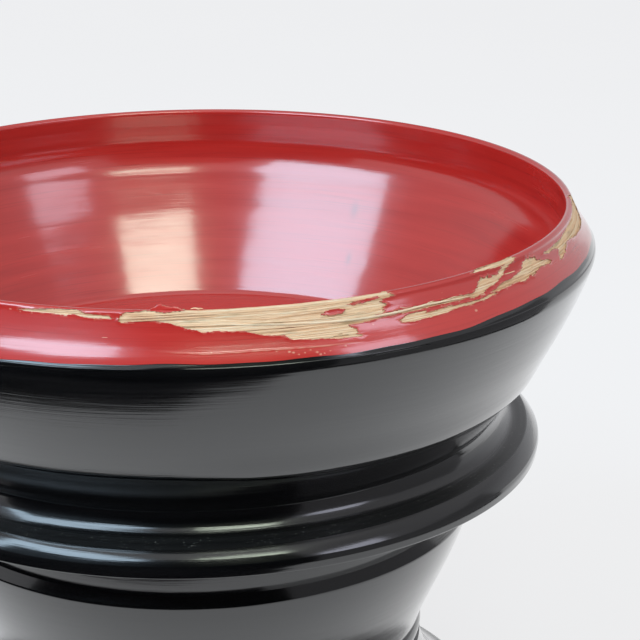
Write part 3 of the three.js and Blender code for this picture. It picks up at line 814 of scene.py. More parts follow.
print("bare at the front, 5 mm down:", bool(bare_at(np.array(5.0), np.array(5.0))))

# %% [markdown]
# The red skin of the rim runs from the inner foot of the lip over the crest and down to the
# painted line. Its grid is fine where the chips are, 0.15 degrees by 0.25 mm, and coarse
# elsewhere. Where cells are left out, a wall one coat deep is drawn from the edge to the bamboo,
# and the lacquer beside it curls up a little.

# %% Grid of the red skin
CHIP_START, CHIP_END = -26, 90
FINE_DEGREES, COARSE_DEGREES = 0.15, 1.0
FINE_MM = 0.25
FLARE_ROWS = 48

azimuths = np.r_[
    np.arange(CHIP_START, CHIP_END, FINE_DEGREES),
    np.arange(CHIP_END, 360 + CHIP_START, COARSE_DEGREES),
]
inner_rows = spaced(lip_inside[::-1], 0.6)[:-1]
rim_rows = spaced(join(crest_arc, lip_band), FINE_MM)
fixed_rows = join(inner_rows, rim_rows)
crest_row = int(np.argmax(fixed_rows[:, 1]))


def flare_radius(height):
    """How wide the flare is at a level."""
    return np.interp(height, flare[::-1, 1], flare[::-1, 0])


grid_azimuth = np.tile(azimuths, (len(fixed_rows) + FLARE_ROWS, 1))
radius = np.tile(fixed_rows[:, 0][:, None], (1, len(azimuths)))
height = np.tile(fixed_rows[:, 1][:, None], (1, len(azimuths)))
share = np.linspace(0, 1, FLARE_ROWS + 1)[1:, None]
flare_height = flare[0, 1] + share * (CREST - paint_drop(azimuths) - flare[0, 1])
radius = np.concatenate([radius, flare_radius(flare_height)])
height = np.concatenate([height, flare_height])
depth = CREST - height
depth[:crest_row] *= -1

along = np.gradient(radius, axis=0), np.gradient(height, axis=0)
length = np.hypot(*along)
outward = (-along[1] / length, along[0] / length)
print("red skin grid", radius.shape, "rows and columns")

# %% [markdown]
# Each cell of the grid is bare or kept, by where its middle lies. Then every corner learns how
# many steps away the nearest chip is. The skin lifts a little where that is few, as lacquer does
# that has lost its hold, and a fine ridge on the flare shows where one coat of red ended.

# %% Chips in the red skin
cell_depth = (depth[:-1] + depth[1:]) / 2
cell_azimuth = (grid_azimuth[:-1] + np.roll(grid_azimuth, -1, axis=1)[:-1]) / 2
cell_azimuth[:, -1] = azimuths[-1]
bare = np.zeros(cell_depth.shape, bool)
fine = (cell_azimuth < CHIP_END) & (cell_depth > -6) & (cell_depth < 16)
bare[fine] = bare_at(cell_azimuth[fine], cell_depth[fine])

# Steps from each kept cell to the nearest chip. FAR_AWAY stands for more than 6
FAR_AWAY = 7
away = np.where(bare, 0, FAR_AWAY)
for step in range(1, FAR_AWAY):
    near = away == step - 1
    for axis, shift in ((0, 1), (0, -1), (1, 1), (1, -1)):
        moved = np.roll(near, shift, axis)
        away[moved & (away > step)] = step
corner_away = np.full(radius.shape, FAR_AWAY)
for row_shift in (0, 1):
    for column_shift in (0, 1):
        rows = slice(row_shift, row_shift + len(away))
        corner_away[rows] = np.minimum(corner_away[rows], np.roll(away, column_shift, axis=1))

CURL_MM = 0.32
RIDGE_MM = 0.16
curl = 0.5 + 0.5 * cloud(grid_azimuth, depth, 1.4, 1.6, 21)
lift = CURL_MM * curl * np.exp(-corner_away / 2.2)
RIDGE = [(-5, 14.9), (-1.4, 15.5), (0.8, 16.0), (7.6, 15.7), (11.2, 15.9), (16.3, 16.2), (21, 16.4)]
ridge_line = np.interp(grid_azimuth, *np.array(RIDGE).T)
ridge_fade = np.clip((grid_azimuth + 5) / 8, 0, 1) * np.clip((21 - grid_azimuth) / 5, 0, 1)
ridge = ridge_fade * np.exp(-(((depth - ridge_line) / 0.28) ** 2))
# The ridge's pale tone, used with the marks below, is a painted highlight for the light that its edge
# catches
ridge_highlight_tone = ridge * (0.55 + 0.45 * cloud(grid_azimuth, depth, 0.7, 0.5, 22))
lift = lift + RIDGE_MM * ridge

wobble = unevenness(grid_azimuth, radius, height)
radius_out = radius + outward[0] * lift + wobble
height_out = height + outward[1] * lift
cells_left = int((~bare).sum())
print("cells of bare bamboo", int(bare.sum()), "kept", cells_left)

# %% [markdown]
# The small marks are colour and no shape: specks, a dotted scratch and a scuffed fringe beside the
# chips. Along the ridge on the flare the pale tone is a painted highlight, for the light that its edge
# catches. They could be a mask texture. Here each corner of the mesh keeps how worn or lit it is, and
# the red material fades to a pale tone by that number.

# %% Small marks on the red
# Azimuth, depth and size in millimetres
SPECKS = [
    (11.1, 16.9, 0.3), (11.6, 17.3, 0.24), (13.7, 17.0, 0.2), (14.5, 18.0, 0.3), (14.9, 18.9, 0.3),
    (15.4, 18.7, 0.2), (13.0, 17.7, 0.18), (9.6, 16.4, 0.18), (12.2, 18.2, 0.2), (16.2, 18.1, 0.18),
    (1.8, 15.6, 0.2), (38.2, 14.4, 0.36), (22.5, 11.0, 0.18), (34.5, 9.6, 0.2), (36.0, 9.5, 0.2),
    (33.0, 9.5, 0.2), (-24.0, 2.4, 0.25), (-22.6, 3.0, 0.2), (45.2, 10.6, 0.2), (18.2, 17.0, 0.25),
]
# The marks start from the ridge's painted highlight; the specks, the scratch and the fringe are wear
wear_and_highlight = np.clip(ridge_highlight_tone, 0, 1) * 0.9
for azimuth, drop, size in SPECKS:
    across = np.radians(grid_azimuth - azimuth) * SHOULDER_RADIUS
    reach = np.hypot(across * 0.7, depth - drop) / size
    reach += 0.35 * cloud(grid_azimuth, depth, 0.2, 0.3, 23)
    wear_and_highlight = np.maximum(wear_and_highlight, np.clip(1.6 - reach, 0, 1))
# The dotted scratch beyond the splinter
scratch_line = np.interp(grid_azimuth, [39.5, 43, 47.8], [9.5, 9.9, 9.8])
scratch_ends = (grid_azimuth > 39.5) & (grid_azimuth < 48)
dotted = cloud(grid_azimuth, depth, 0.35, 9, 24) > -0.25
scratch = scratch_ends & dotted & (np.abs(depth - scratch_line) < 0.24)
wear_and_highlight = np.where(scratch, 1.0, wear_and_highlight)
# A pale, scuffed fringe beside each chip
fringe = (corner_away < 3) & (cloud(grid_azimuth, depth, 0.5, 0.4, 25) > 0.35)
wear_and_highlight = np.where(fringe, np.maximum(wear_and_highlight, 0.35), wear_and_highlight)
print(len(SPECKS), "specks, worn corners", int((wear_and_highlight > 0.3).sum()))

# %% [markdown]
# Now the skin is made. Wherever a kept cell meets a bare one, a narrow wall drops from the skin to
# the bamboo. It has the putty's material, so that the broken edge of each chip shows its ground.

# %% The red skin and its broken edges
EDGE_DEPTH = 0.95
rows, columns = radius.shape
outer_corners = place_of(grid_azimuth, radius_out, height_out).reshape(-1, 3)
inner_corners = place_of(
    grid_azimuth, radius_out - outward[0] * EDGE_DEPTH, height_out - outward[1] * EDGE_DEPTH,
).reshape(-1, 3)
cells = grid_faces(rows, columns, closed=True)
skin_faces = cells[~bare]

edge_faces = []
inner_start = rows * columns
number = np.arange(rows * columns).reshape(rows, columns)
after = np.roll(number, -1, axis=1)
for axis in (0, 1):
    before_cell = np.roll(bare, 1, axis)
    if axis == 0:
        before_cell[0] = bare[0]
    starts, ends = (number[:-1], after[:-1]) if axis == 0 else (number[1:], number[:-1])
    for open_cell, kept_cell, flip in ((bare, before_cell, False), (before_cell, bare, True)):
        edge = open_cell & ~kept_cell
        a, b = starts[edge], ends[edge]
        first, second = (b, a) if flip else (a, b)
        edge_faces.append(np.stack([first, second, second + inner_start, first + inner_start], -1))
edge_faces = np.concatenate(edge_faces)

corners = np.concatenate([outer_corners, inner_corners])
faces = np.concatenate([skin_faces, edge_faces])
row_run = run(np.c_[radius[:, 0], height[:, 0]])
lay = brush_place(grid_azimuth, np.tile(row_run[:, None], (1, columns))).reshape(-1, 3)
face_material = np.r_[np.zeros(len(skin_faces)), np.ones(len(edge_faces))]

used = np.unique(faces)
renumber = np.zeros(len(corners), int)
renumber[used] = np.arange(len(used))
red_skin = new_mesh(
    "red_skin", corners[used], renumber[faces], [red_lacquer, ash_putty], face_material,
    np.concatenate([lay, lay])[used],
)
# Painted highlight of the ridge and the marks of wear, kept on the skin's corners
wear_and_highlight_values = np.concatenate([wear_and_highlight.ravel(), 0 * wear_and_highlight.ravel()])[used]
wear_and_highlight_mark = red_skin.data.attributes.new("wear_and_highlight", "FLOAT", "POINT")
wear_and_highlight_mark.data.foreach_set("value", wear_and_highlight_values.astype(np.float32))
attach(red_skin, "root")
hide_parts("red_rim")
print("red skin faces", len(faces), "of which broken edge", len(edge_faces))

# %% [markdown]
# The lining is the same red, whole and smooth: from the foot of the lip through the hollow behind
# the shoulder, down the wall and over the floor. Its grid is coarser than the rim's, half a degree
# by 1.5 mm, because nothing is torn there. The black side is made by the same function later.

# %% Red lining
def round_sheet(name, turns, radius, height, material, flipped=False):
    """An open sheet of rows round the bowl, with its unevenness and its lay."""
    distance = run(np.c_[radius[:, 0], height[:, 0]])[:, None] + 0 * turns
    faces = grid_faces(*radius.shape, closed=True).reshape(-1, 4)
    if flipped:
        faces = faces[:, ::-1]
    corners = place_of(turns, radius + unevenness(turns, radius, height), height)
    lay = brush_place(turns, distance)
    return new_mesh(name, corners.reshape(-1, 3), faces, [material], lay=lay.reshape(-1, 3))


LINING_STEP = 1.5
HALF_DEGREES = np.arange(0, 360, 0.5)
lining_rows = spaced(lining[len(lip_inside) - 1:], LINING_STEP)
turns, radius = np.meshgrid(HALF_DEGREES, lining_rows[:, 0])
height = np.repeat(lining_rows[:, 1][:, None], len(HALF_DEGREES), axis=1)
red_lining = round_sheet("lining", turns, radius, height, red_lacquer, flipped=True)
# Two small dark smudges on the far wall: azimuth, level and size in millimetres
SMUDGES = [(148.2, 246.5, 3.2), (147.0, 221.5, 2.4)]
smudge = np.zeros(turns.shape)
for azimuth, smudge_level, size in SMUDGES:
    across = np.radians(turns - azimuth) * radius
    reach = np.hypot(across * 1.4, (height - smudge_level) * 0.8) / size
    smudge = np.maximum(smudge, 0.38 * np.exp(-reach**2))
stain_mark = red_lining.data.attributes.new("stain", "FLOAT", "POINT")
stain_mark.data.foreach_set("value", smudge.ravel().astype(np.float32))
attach(red_lining, "root")
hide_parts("red_lining")
print("lining", len(red_lining.data.polygons), "faces")

# %% [markdown]
# Under the chips lies the bamboo. The frame holds its wound strips as plain bands. Seen close, a
# strip is a bundle of strands that part, cross and spring loose, so here each strand is a thin
# arched ribbon of its own that follows the rim with a little wander. Particle hair could give
# strands too, but ribbons keep their place as part of the mesh.

# %% Where strands lie
rim_line = join(crest_arc, lip_band, flare)
rim_run = run(rim_line)
crest_run = rim_run[int(np.argmax(rim_line[:, 1]))]
rim_side = np.gradient(rim_line, axis=0)
rim_side /= np.linalg.norm(rim_side, axis=1)[:, None]
print("rim surface", round(rim_run[-1] - crest_run, 1), "mm from the crest to the shoulder")


def on_rim(azimuth, reach, proud):
    """A point on the rim: reach is how far over the surface from the crest, in millimetres."""
    place = crest_run + reach
    point_radius = np.interp(place, rim_run, rim_line[:, 0])
    point_height = np.interp(place, rim_run, rim_line[:, 1])
    side_r = np.interp(place, rim_run, rim_side[:, 0])
    side_z = np.interp(place, rim_run, rim_side[:, 1])
    point_radius = point_radius + unevenness(azimuth, point_radius, point_height)
    return point_radius - side_z * proud, point_height + side_r * proud


def reach_of(drop):
    """Distance over the surface from the crest to a depth below it; negative depths lie inside."""
    outer = rim_line[:, 1][rim_run >= crest_run]
    outer_run = rim_run[rim_run >= crest_run] - crest_run
    size = np.interp(np.abs(drop), CREST - outer, outer_run)
    return np.sign(drop) * size


def strand(azimuth, reach, half_width, base, arch, tone, across=5):
    """An arched ribbon along the rim: its corners, faces, lay and tone."""
    turn = np.linspace(math.pi, 0, across)
    offset = np.cos(turn)[:, None] * half_width[None, :]
    rise = base[None, :] + np.sin(turn)[:, None] * arch[None, :]
    r, z = on_rim(azimuth[None, :], reach[None, :] + offset, rise)
    corners = place_of(np.broadcast_to(azimuth, r.shape), r, z).reshape(-1, 3)
    lay = brush_place(np.broadcast_to(azimuth, r.shape), reach[None, :] + offset).reshape(-1, 3)
    faces = grid_faces(across, len(azimuth), closed=False).reshape(-1, 4)
    return corners, faces, lay, np.full(len(corners), tone)


def gather(name, strands):
    """Many ribbons of bare bamboo as one piece."""
    corners, faces, lay, tones, start = [], [], [], [], 0
    for ribbon in strands:
        corners.append(ribbon[0])
        faces.append(ribbon[1] + start)
        lay.append(ribbon[2])
        tones.append(ribbon[3])
        start += len(ribbon[0])
    piece = new_mesh(
        name, np.concatenate(corners), np.concatenate(faces), [bare_bamboo],
        lay=np.concatenate(lay),
    )
    tone_mark = piece.data.attributes.new("tone", "FLOAT", "POINT")
    tone_mark.data.foreach_set("value", np.concatenate(tones).astype(np.float32))
    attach(piece, "root")
    print(name, len(strands), "strands", sum(len(f) for f in faces), "faces")
    return piece


# %% [markdown]
# The strands fill the whole zone under the chips, side by side, so that no chip shows a gap. Each
# has its own width, height, wander and tone. The real ones are finer still; these are as fine as
# the picture can show.

# %% Strands of the bare patches
STRAND_PITCH = 0.36
STRAND_STEP = 0.4
ZONE_START, ZONE_END = -5.0, 19
ALL_CHIPS = (-25, 89)
LOW_CHIPS = (7, 46)
LOW_CHIPS_FROM = 13
bamboo = np.random.default_rng(31)
strands = []
reach = ZONE_START
while reach < ZONE_END:
    low, high = ALL_CHIPS if reach < LOW_CHIPS_FROM else LOW_CHIPS
    a = np.arange(low, high, STRAND_STEP)
    row = np.full_like(a, reach)
    wander = 0.3 * cloud(a, row, 9, 3.0, 41) + 0.12 * cloud(a, row, 2.2, 0.7, 42)
    width = bamboo.uniform(0.2, 0.38) * (1 + 0.25 * cloud(a, row, 3, 0.5, 43))
    base = -0.5 + 0.15 * cloud(a, row, 12, 1.4, 44) + bamboo.uniform(-0.1, 0.1)
    arch = 0.55 * width + 0.1 * np.maximum(0, cloud(a, row, 1.6, 0.5, 45))
    tone = np.clip(bamboo.normal(0.7, 0.18), 0.12, 1.0)
    strands.append(strand(a, reach + wander, width, base, arch, tone))
    reach += STRAND_PITCH * bamboo.uniform(0.7, 1.3)
gather("bare_strands", strands)

# %% [markdown]
# Beside the chips single splinters have sprung up: a long pale one under the red on the right,
# short hairs, and the ends of a bundle on the left that stand proud of the lip. Each is a ribbon
# again, drawn through a few points in azimuth and depth, with tapered ends.

# %% Splinters and loose ends
def splinter(points, half_width, proud, tone):
    """A tapered ribbon through points of azimuth and depth below the crest."""
    points = np.array(points, float)
    a = np.linspace(points[0, 0], points[-1, 0], max(12, int(np.ptp(points[:, 0]) / 0.25)))
    drop = np.interp(a, points[:, 0], points[:, 1])
    drop = np.convolve(np.pad(drop, 3, "edge"), np.ones(7) / 7, "valid")
    taper = np.sqrt(np.clip(1 - np.abs(np.linspace(-1, 1, len(a))) ** 3, 0.02, 1))
    base = np.interp(np.linspace(0, 1, len(a)), np.linspace(0, 1, len(proud)), proud)
    return strand(a, reach_of(drop), half_width * taper, base, half_width * taper, tone)


# Points, half width, how far it stands proud along its length, and tone
SPLINTERS = [
    ([(1, 5.2), (8, 6.4), (14, 7.4), (20, 8.3), (26, 8.2), (31, 7.6), (38.5, 8.7)], 0.46,
     [-0.4, -0.3, -0.2, 0.1, 0.45, 0.3, -0.2], 0.95),
    ([(26.1, 5.9), (27.8, 7.6)], 0.12, [-0.4, 0.5], 0.85),
    ([(29.6, 7.9), (30.8, 7.2), (31.9, 6.8)], 0.16, [-0.3, 0.3], 0.9),
    ([(33.6, 7.9), (35.2, 7.1), (36.9, 7.7)], 0.14, [-0.2, 0.25, -0.2], 0.8),
    ([(-9.8, 3.4), (-5, 2.4), (0, 1.6), (5, 1.6)], 0.36, [0.7, 0.45, -0.1, -0.7], 0.72),
    ([(-9.2, 4.3), (-4, 3.3), (1, 2.6), (6, 2.7)], 0.34, [0.4, 0.25, -0.2, -0.7], 0.6),
    ([(-0.7, -0.3), (0.1, 0.1), (1.0, -0.1)], 0.4, [0.1, 0.45, 0.0], 0.7),
    ([(-8.6, 2.3), (-4, 1.4), (0, 0.9), (4, 1.2)], 0.28, [0.05, 0.0, -0.3, -0.7], 0.75),
    ([(2, 3.9), (9, 4.6), (16, 4.0), (24, 4.6)], 0.3, [-0.8, -0.35, -0.3, -0.8], 0.35),
    ([(4, 5.0), (10, 5.8), (17, 6.4), (24.4, 6.3)], 0.32, [-0.8, -0.3, -0.25, -0.6], 0.8),
    ([(11, 2.6), (15, 2.9), (19, 2.4), (24, 3.0)], 0.3, [-0.8, -0.35, -0.3, -0.6], 0.85),
    ([(44.2, 4.4), (46.2, 5.2), (49.5, 5.6)], 0.2, [-0.6, 0.1, -0.4], 0.8),
    ([(49.6, 8.8), (53, 7.6), (57.6, 8.9)], 0.24, [-0.6, -0.1, -0.5], 0.85),
    ([(62, 8.8), (69, 7.4), (76, 8.6)], 0.28, [-0.7, -0.2, -0.6], 0.75),
    ([(60, 4.9), (70, 3.7), (80, 2.4)], 0.28, [-0.7, -0.3, -0.6], 0.85),
]
gather("loose_splinters", [splinter(*row) for row in SPLINTERS])

# %% [markdown]
# On the crest one flake of red lacquer has come loose and stands up like a small fin. A plane with
# a solidify modifier would have one thickness. This shard is two sheets that come closer towards
# the broken tip, with a rim of putty between them, and it leans inwards as it curls.

# %% Lifted flake
FLAKE_OUTLINE = [
    (-6.1, 0.1), (-5.6, 0.9), (-5.1, 1.5), (-4.8, 2.3), (-4.45, 2.75), (-4.15, 2.2), (-3.7, 1.7),
    (-3.1, 1.5), (-2.6, 1.75), (-2.2, 1.3), (-1.8, 0.6), (-1.4, 0.1),
]
FLAKE_THICKNESS = 0.5
flake_azimuth = np.linspace(-6.1, -1.4, 49)
flake_top = np.interp(flake_azimuth, *np.array(FLAKE_OUTLINE).T)
flake_top = flake_top + 0.12 * cloud(flake_azimuth, flake_azimuth, 0.25, 1, 51)
flake_rows, flake_columns = 9, len(flake_azimuth)
climb = np.linspace(-0.06, 1, flake_rows)[:, None]
flake_turns = np.tile(flake_azimuth, (flake_rows, 1))
rise = climb * flake_top
lean = 0.35 * rise**1.3 + 0.25 * cloud(flake_turns, rise, 1.5, 1.0, 52)
thin = FLAKE_THICKNESS / 2 * (1 - 0.6 * climb**2) * np.ones_like(rise)
flake_radius = LIP_RADIUS + 0.2 - lean
sheets = [
    place_of(flake_turns, flake_radius + side * thin, CREST - 0.3 + rise)
    for side in (1, -1)
]
front, back = (sheet.reshape(-1, 3) for sheet in sheets)
front_faces = grid_faces(flake_rows, flake_columns, closed=False).reshape(-1, 4)
number = np.arange(flake_rows * flake_columns).reshape(flake_rows, flake_columns)
ring = np.r_[number[0], number[1:, -1], number[-1, -2::-1], number[-2:0:-1, 0]]
ahead = np.roll(ring, -1)
back_faces = front_faces[:, ::-1] + number.size
rim_faces = np.stack([ring, ring + number.size, ahead + number.size, ahead], -1)
flake_faces = np.concatenate([front_faces, back_faces, rim_faces])
flake_lay = np.tile(brush_place(flake_turns, rise).reshape(-1, 3), (2, 1))
flake_material = np.r_[np.zeros(2 * len(front_faces)), np.ones(len(rim_faces))]
flake = new_mesh(
    "raised_flake", np.concatenate([front, back]), flake_faces, [red_lacquer, ash_putty],
    flake_material, flake_lay,
)
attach(flake, "root")
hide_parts("lifted_flake")
print("flake rises", round(float(flake_top.max()), 2), "mm above the crest")

# %% [markdown]
# The black side runs from the painted line over the rounded shoulder, down the cone, in under a
# soft arris, down the recessed neck and out on to the flange in a fillet. Each stretch is drawn
# apart and then joined, because each has its own softness.

# %% Outline of the black side
NOSE_SOFTNESS = 2.5
ARRIS_SOFTNESS = 2
ARRIS_BEVEL = 1.2
NECK_FILLET = 11
NECK_SWEEP = 0.4
FILLET_LEANS = [(0, -2), (0.3, 22), (0.46, 37), (0.6, 42), (0.74, 60), (1, 88)]
nose_round = curve([
    towards(nose, flare[-4], NOSE_SOFTNESS),
    nose,
    towards(nose, cone[6], NOSE_SOFTNESS),
], 16)
under_arris = arris + at(-2 * ARRIS_BEVEL, -ARRIS_BEVEL)
neck_pull = at(NECK_RADIUS + NECK_INSET * NECK_SWEEP, ARRIS_LEVEL - NECK_HEIGHT * NECK_SWEEP)
fillet_top = at(NECK_RADIUS, FLANGE_TOP + NECK_FILLET)
fillet_end = at(NECK_RADIUS + NECK_FILLET, FLANGE_TOP)
arris_round = curve([towards(arris, cone[-6], ARRIS_SOFTNESS), arris, under_arris], 8)
neck = curve([under_arris, neck_pull, fillet_top], 24)
fillet = leaning(fillet_top, fillet_end, FILLET_LEANS)[::3]
cone_rows = cone[(cone[:, 1] < nose_round[-1, 1]) & (cone[:, 1] > arris_round[0, 1])]
black_line = join(nose_round, cone_rows, arris_round, neck, fillet)
print("black side runs", round(run(black_line)[-1]), "mm from the shoulder to the flange")

# %% [markdown]
# The sheet's first row lies on the painted line, so it rises and falls with it. The arris was cut
# by hand and lies lower on the right, and the last coat of black ends in a low bead under the red.
# Both are given at a few azimuths, read from the photograph, and vary evenly in between.

# %% Black side of the bowl
ARRIS_AZIMUTH = [-180, -10, -4, 2, 7, 14, 40, 60, 75, 110]
ARRIS_SAG = [0, 0, 0.2, 1.0, 2.0, 2.6, 2.8, 2.0, 2.0, 0]
ARRIS_SPREAD = 9
BEAD_WIDTH = 2.8
BEAD_AZIMUTH = [-180, -8, 0, 18, 22, 29, 34, 180]
BEAD_RISE = [0.58, 0.58, 0.2, 0.08, 0.4, 0.4, 0.05, 0.1]
signed_azimuth = np.where(HALF_DEGREES > 180, HALF_DEGREES - 360, HALF_DEGREES)
share = np.linspace(0, 1, 14)[:-1, None]
paint_level = CREST - paint_drop(signed_azimuth)
black_height = paint_level + share * (nose_round[0, 1] - paint_level)
line_radius = np.repeat(black_line[:, 0][:, None], len(HALF_DEGREES), axis=1)
line_height = np.repeat(black_line[:, 1][:, None], len(HALF_DEGREES), axis=1)

sag = np.interp(signed_azimuth, ARRIS_AZIMUTH, ARRIS_SAG)
line_height = line_height - sag * np.exp(-(((line_height - ARRIS_LEVEL) / ARRIS_SPREAD) ** 2))

radius = np.concatenate([flare_radius(black_height), line_radius])
height = np.concatenate([black_height, line_height])
below = (paint_level - height) / BEAD_WIDTH
bead_rise = np.interp(signed_azimuth, BEAD_AZIMUTH, BEAD_RISE)
bead_rise = bead_rise * np.interp(below, [0, 0.06, 0.5, 0.62, 1], [0, 0.04, 0.93, 1, 0])
radius = np.minimum(radius + bead_rise, SHOULDER_RADIUS)
turns = np.tile(HALF_DEGREES, (len(radius), 1))
black_side = round_sheet("black_side", turns, radius, height, black_lacquer)
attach(black_side, "root")
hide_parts("black_coat")
print("black side", len(black_side.data.polygons), "faces")

# %% [markdown]
# Below the bowl come closed rings, each turned from a closed outline, and all in black lacquer.
# The stand stays hollow, as in the frame. The function turns one outline; it looks at which way
# round the outline was drawn, so that all plain rings face alike.

# %% Turning a ring
STAND_COLUMNS = 360


def line_area(line):
    """Twice the signed area inside a closed outline: positive where it runs anticlockwise."""
    ahead = np.roll(line, -1, axis=0)
    return float(np.sum(line[:, 0] * ahead[:, 1] - ahead[:, 0] * line[:, 1]))


def turned(name, line):
    """A black ring turned from a closed outline, with its unevenness."""
    columns = STAND_COLUMNS
    azimuth, radius = np.meshgrid(np.arange(columns) * 360 / columns, line[:, 0])
    height = np.repeat(line[:, 1][:, None], columns, axis=1)
    distance = np.repeat(run(line)[:, None], columns, axis=1)
    radius = radius + unevenness(azimuth, radius, height)
    corners = place_of(azimuth, radius, height).reshape(-1, 3)
    lay = brush_place(azimuth, distance).reshape(-1, 3)
    faces = grid_faces(len(line), columns, closed=True).reshape(-1, 4)
    closing = grid_faces(2, columns, closed=True).reshape(-1, 4).copy()
    closing[closing >= columns] -= columns
    closing[:, :2] += (len(line) - 1) * columns
    faces = np.concatenate([faces, closing])
    if line_area(line) > 0:
        faces = faces[:, ::-1]
    piece = new_mesh(name, corners, faces, [black_lacquer], lay=lay)
    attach(piece, "root")
    print(name, len(line), "points turned into", len(faces), "faces")
    return piece


# %% [markdown]
# The flange is a broad flat ring. Its top slants off to a rounded edge, and the slant mirrors the
# windows as a bright line, so its slope matters more than its size. The top starts a little inside
# the neck's fillet, so that no gap shows between the two.

# %% Flange
FLANGE_OVERHANG = 20.6
FLANGE_RADIUS = NECK_RADIUS + FLANGE_OVERHANG
CUP_INSET = 14.6
CUP_FILLET = 5.8
CUP_RADIUS = NECK_RADIUS - CUP_INSET
STAND_BORE = CUP_RADIUS - 9.6
UNDER_FILLET = 1.5
FLANGE_UNDER = level("cup_upper", 1) + GAP
FLANGE_SEAT = level("neck_ring", 0) - GAP
top_edge = at(FLANGE_RADIUS - 6.3, FLANGE_TOP - 0.5)
slant_pull = at(FLANGE_RADIUS - 2.9, FLANGE_TOP - 2.7)
slant_foot = at(FLANGE_RADIUS - 0.4, FLANGE_TOP - 6.6)
edge_side = at(FLANGE_RADIUS, FLANGE_TOP - 8.8)
edge_foot = at(FLANGE_RADIUS - 0.3, FLANGE_UNDER + 1.4)
low_edge = at(FLANGE_RADIUS - 2, FLANGE_UNDER + 0.3)
flange_edge = join(
    curve([top_edge, slant_pull, slant_foot], 20),
    towards(slant_foot, edge_side, 0.2),
    curve([slant_foot + at(0.2, -0.7), at(FLANGE_RADIUS, FLANGE_TOP - 8.0), edge_side], 6),
    curve([edge_side, edge_foot], 4),
    curve([edge_foot, at(FLANGE_RADIUS - 0.4, FLANGE_UNDER + 0.3), low_edge], 8),
)
cup_root = at(CUP_RADIUS + CUP_FILLET, FLANGE_UNDER)
top_start = fillet_end[0] - UNDER_FILLET
flange_line = join(
    at(STAND_BORE, FLANGE_SEAT),
    at(top_start, FLANGE_SEAT),
    at(top_start, FLANGE_TOP),
    at(top_start + 0.2, FLANGE_TOP),
    spaced(join(fillet_end, top_edge), 1),
    flange_edge,
    spaced(join(low_edge, cup_root), 2),
    at(STAND_BORE, FLANGE_UNDER),
)
flange = turned("broad_flange", flange_line)
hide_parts("flange_ring")

# %% [markdown]
# Under the flange hangs the cup. Its side is full above and drawn in below, to the waist. The wall
# is thick above, where the pegs are seated, and the cup's side is its outer face.
# Below the pegs the side is its inner face, which is a fault that is left here. The shown cup and
# trumpet stand a wall's thickness too wide, with a ledge under the pegs' seat, and the bead at the
# waist hardly stands out. With STAND_WALL instead of -STAND_WALL in both calls of sideways(), the
# second face would lie inside, as it does in the frame.

# %% Cup
STAND_WALL = 5.5
CUP_FULLNESS = 0.42
CUP_DRAW_IN = 0.19
BEAD_DEPTH = 6
BEAD_TOP = level("cup_lower", 0) - GAP
BEAD_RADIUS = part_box("waist_hoop")[1].x / MM
WAIST_RADIUS = BEAD_RADIUS - BEAD_DEPTH
cup_start = at(CUP_RADIUS, FLANGE_UNDER - CUP_FILLET)
cup_height = FLANGE_UNDER - BEAD_TOP
thick_foot = level("neck_peg_1", 0) - STAND_WALL
cup_taper = CUP_RADIUS - WAIST_RADIUS
cup_side = curve([
    cup_start,
    at(CUP_RADIUS, FLANGE_UNDER - cup_height * CUP_FULLNESS),
    at(WAIST_RADIUS + cup_taper * CUP_DRAW_IN / 2, BEAD_TOP + cup_height * CUP_DRAW_IN),
    at(WAIST_RADIUS, BEAD_TOP),
], 48)
cup_fillet = curve([cup_root, at(CUP_RADIUS, FLANGE_UNDER), cup_start], 10)
cup_line = join(cup_fillet, cup_side)
cup_line = cup_line[cup_line[:, 1] <= FLANGE_UNDER - GAP]
cup_rim = np.interp(FLANGE_UNDER - GAP, cup_fillet[::-1, 1], cup_fillet[::-1, 0])
cup_outside = join(at(cup_rim, FLANGE_UNDER - GAP), cup_line[cup_line[:, 1] > BEAD_TOP + GAP])
cup_second_face = sideways(cup_side, -STAND_WALL)
cup_second_face = cup_second_face[cup_second_face[:, 1] > BEAD_TOP + GAP]
cup_second_face = cup_second_face[cup_second_face[:, 1] < thick_foot - STAND_WALL]
cup_closed = join(
    cup_outside,
    at(WAIST_RADIUS, BEAD_TOP + GAP),
    at(WAIST_RADIUS - STAND_WALL, BEAD_TOP + GAP),
    cup_second_face[::-1],
    at(STAND_BORE, thick_foot),
    at(STAND_BORE, FLANGE_UNDER - GAP),
)
cup = turned("cup", cup_closed)
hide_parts("cup_upper", "cup_lower")

# %% [markdown]
# A hoop couples the cup to the foot. Outside it shows as a bead, and inside a tongue reaches up
# and down behind both walls, as a cooper's joint does.

# %% Waist bead
TONGUE_THICKNESS = 3.6
TONGUE_LENGTH = 12
BEAD_BOTTOM = level("trumpet_upper", 1) + GAP
tongue_outer = WAIST_RADIUS - STAND_WALL - GAP
tongue_inner = tongue_outer - TONGUE_THICKNESS
bead_pull = WAIST_RADIUS + BEAD_DEPTH * 4 / 3
bead_line = join(
    curve([
        at(WAIST_RADIUS, BEAD_BOTTOM),
        at(bead_pull, BEAD_BOTTOM),
        at(bead_pull, BEAD_TOP),
        at(WAIST_RADIUS, BEAD_TOP),
    ], 24),
    at(tongue_outer, BEAD_TOP),
    at(tongue_outer, BEAD_TOP + TONGUE_LENGTH),
    at(tongue_inner, BEAD_TOP + TONGUE_LENGTH),
    at(tongue_inner, BEAD_BOTTOM - TONGUE_LENGTH),
    at(tongue_outer, BEAD_BOTTOM - TONGUE_LENGTH),
    at(tongue_outer, BEAD_BOTTOM),
)
bead = turned("waist_bead", bead_line)
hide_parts("waist_hoop")

# %% [markdown]
# Below the waist a trumpet flares out to the foot. The picture ends above it, so its curve is the
# usual one of such bowls: steep at first, then swinging out flat. It ends at its last point before
# each ring, which leaves a fine open joint there.

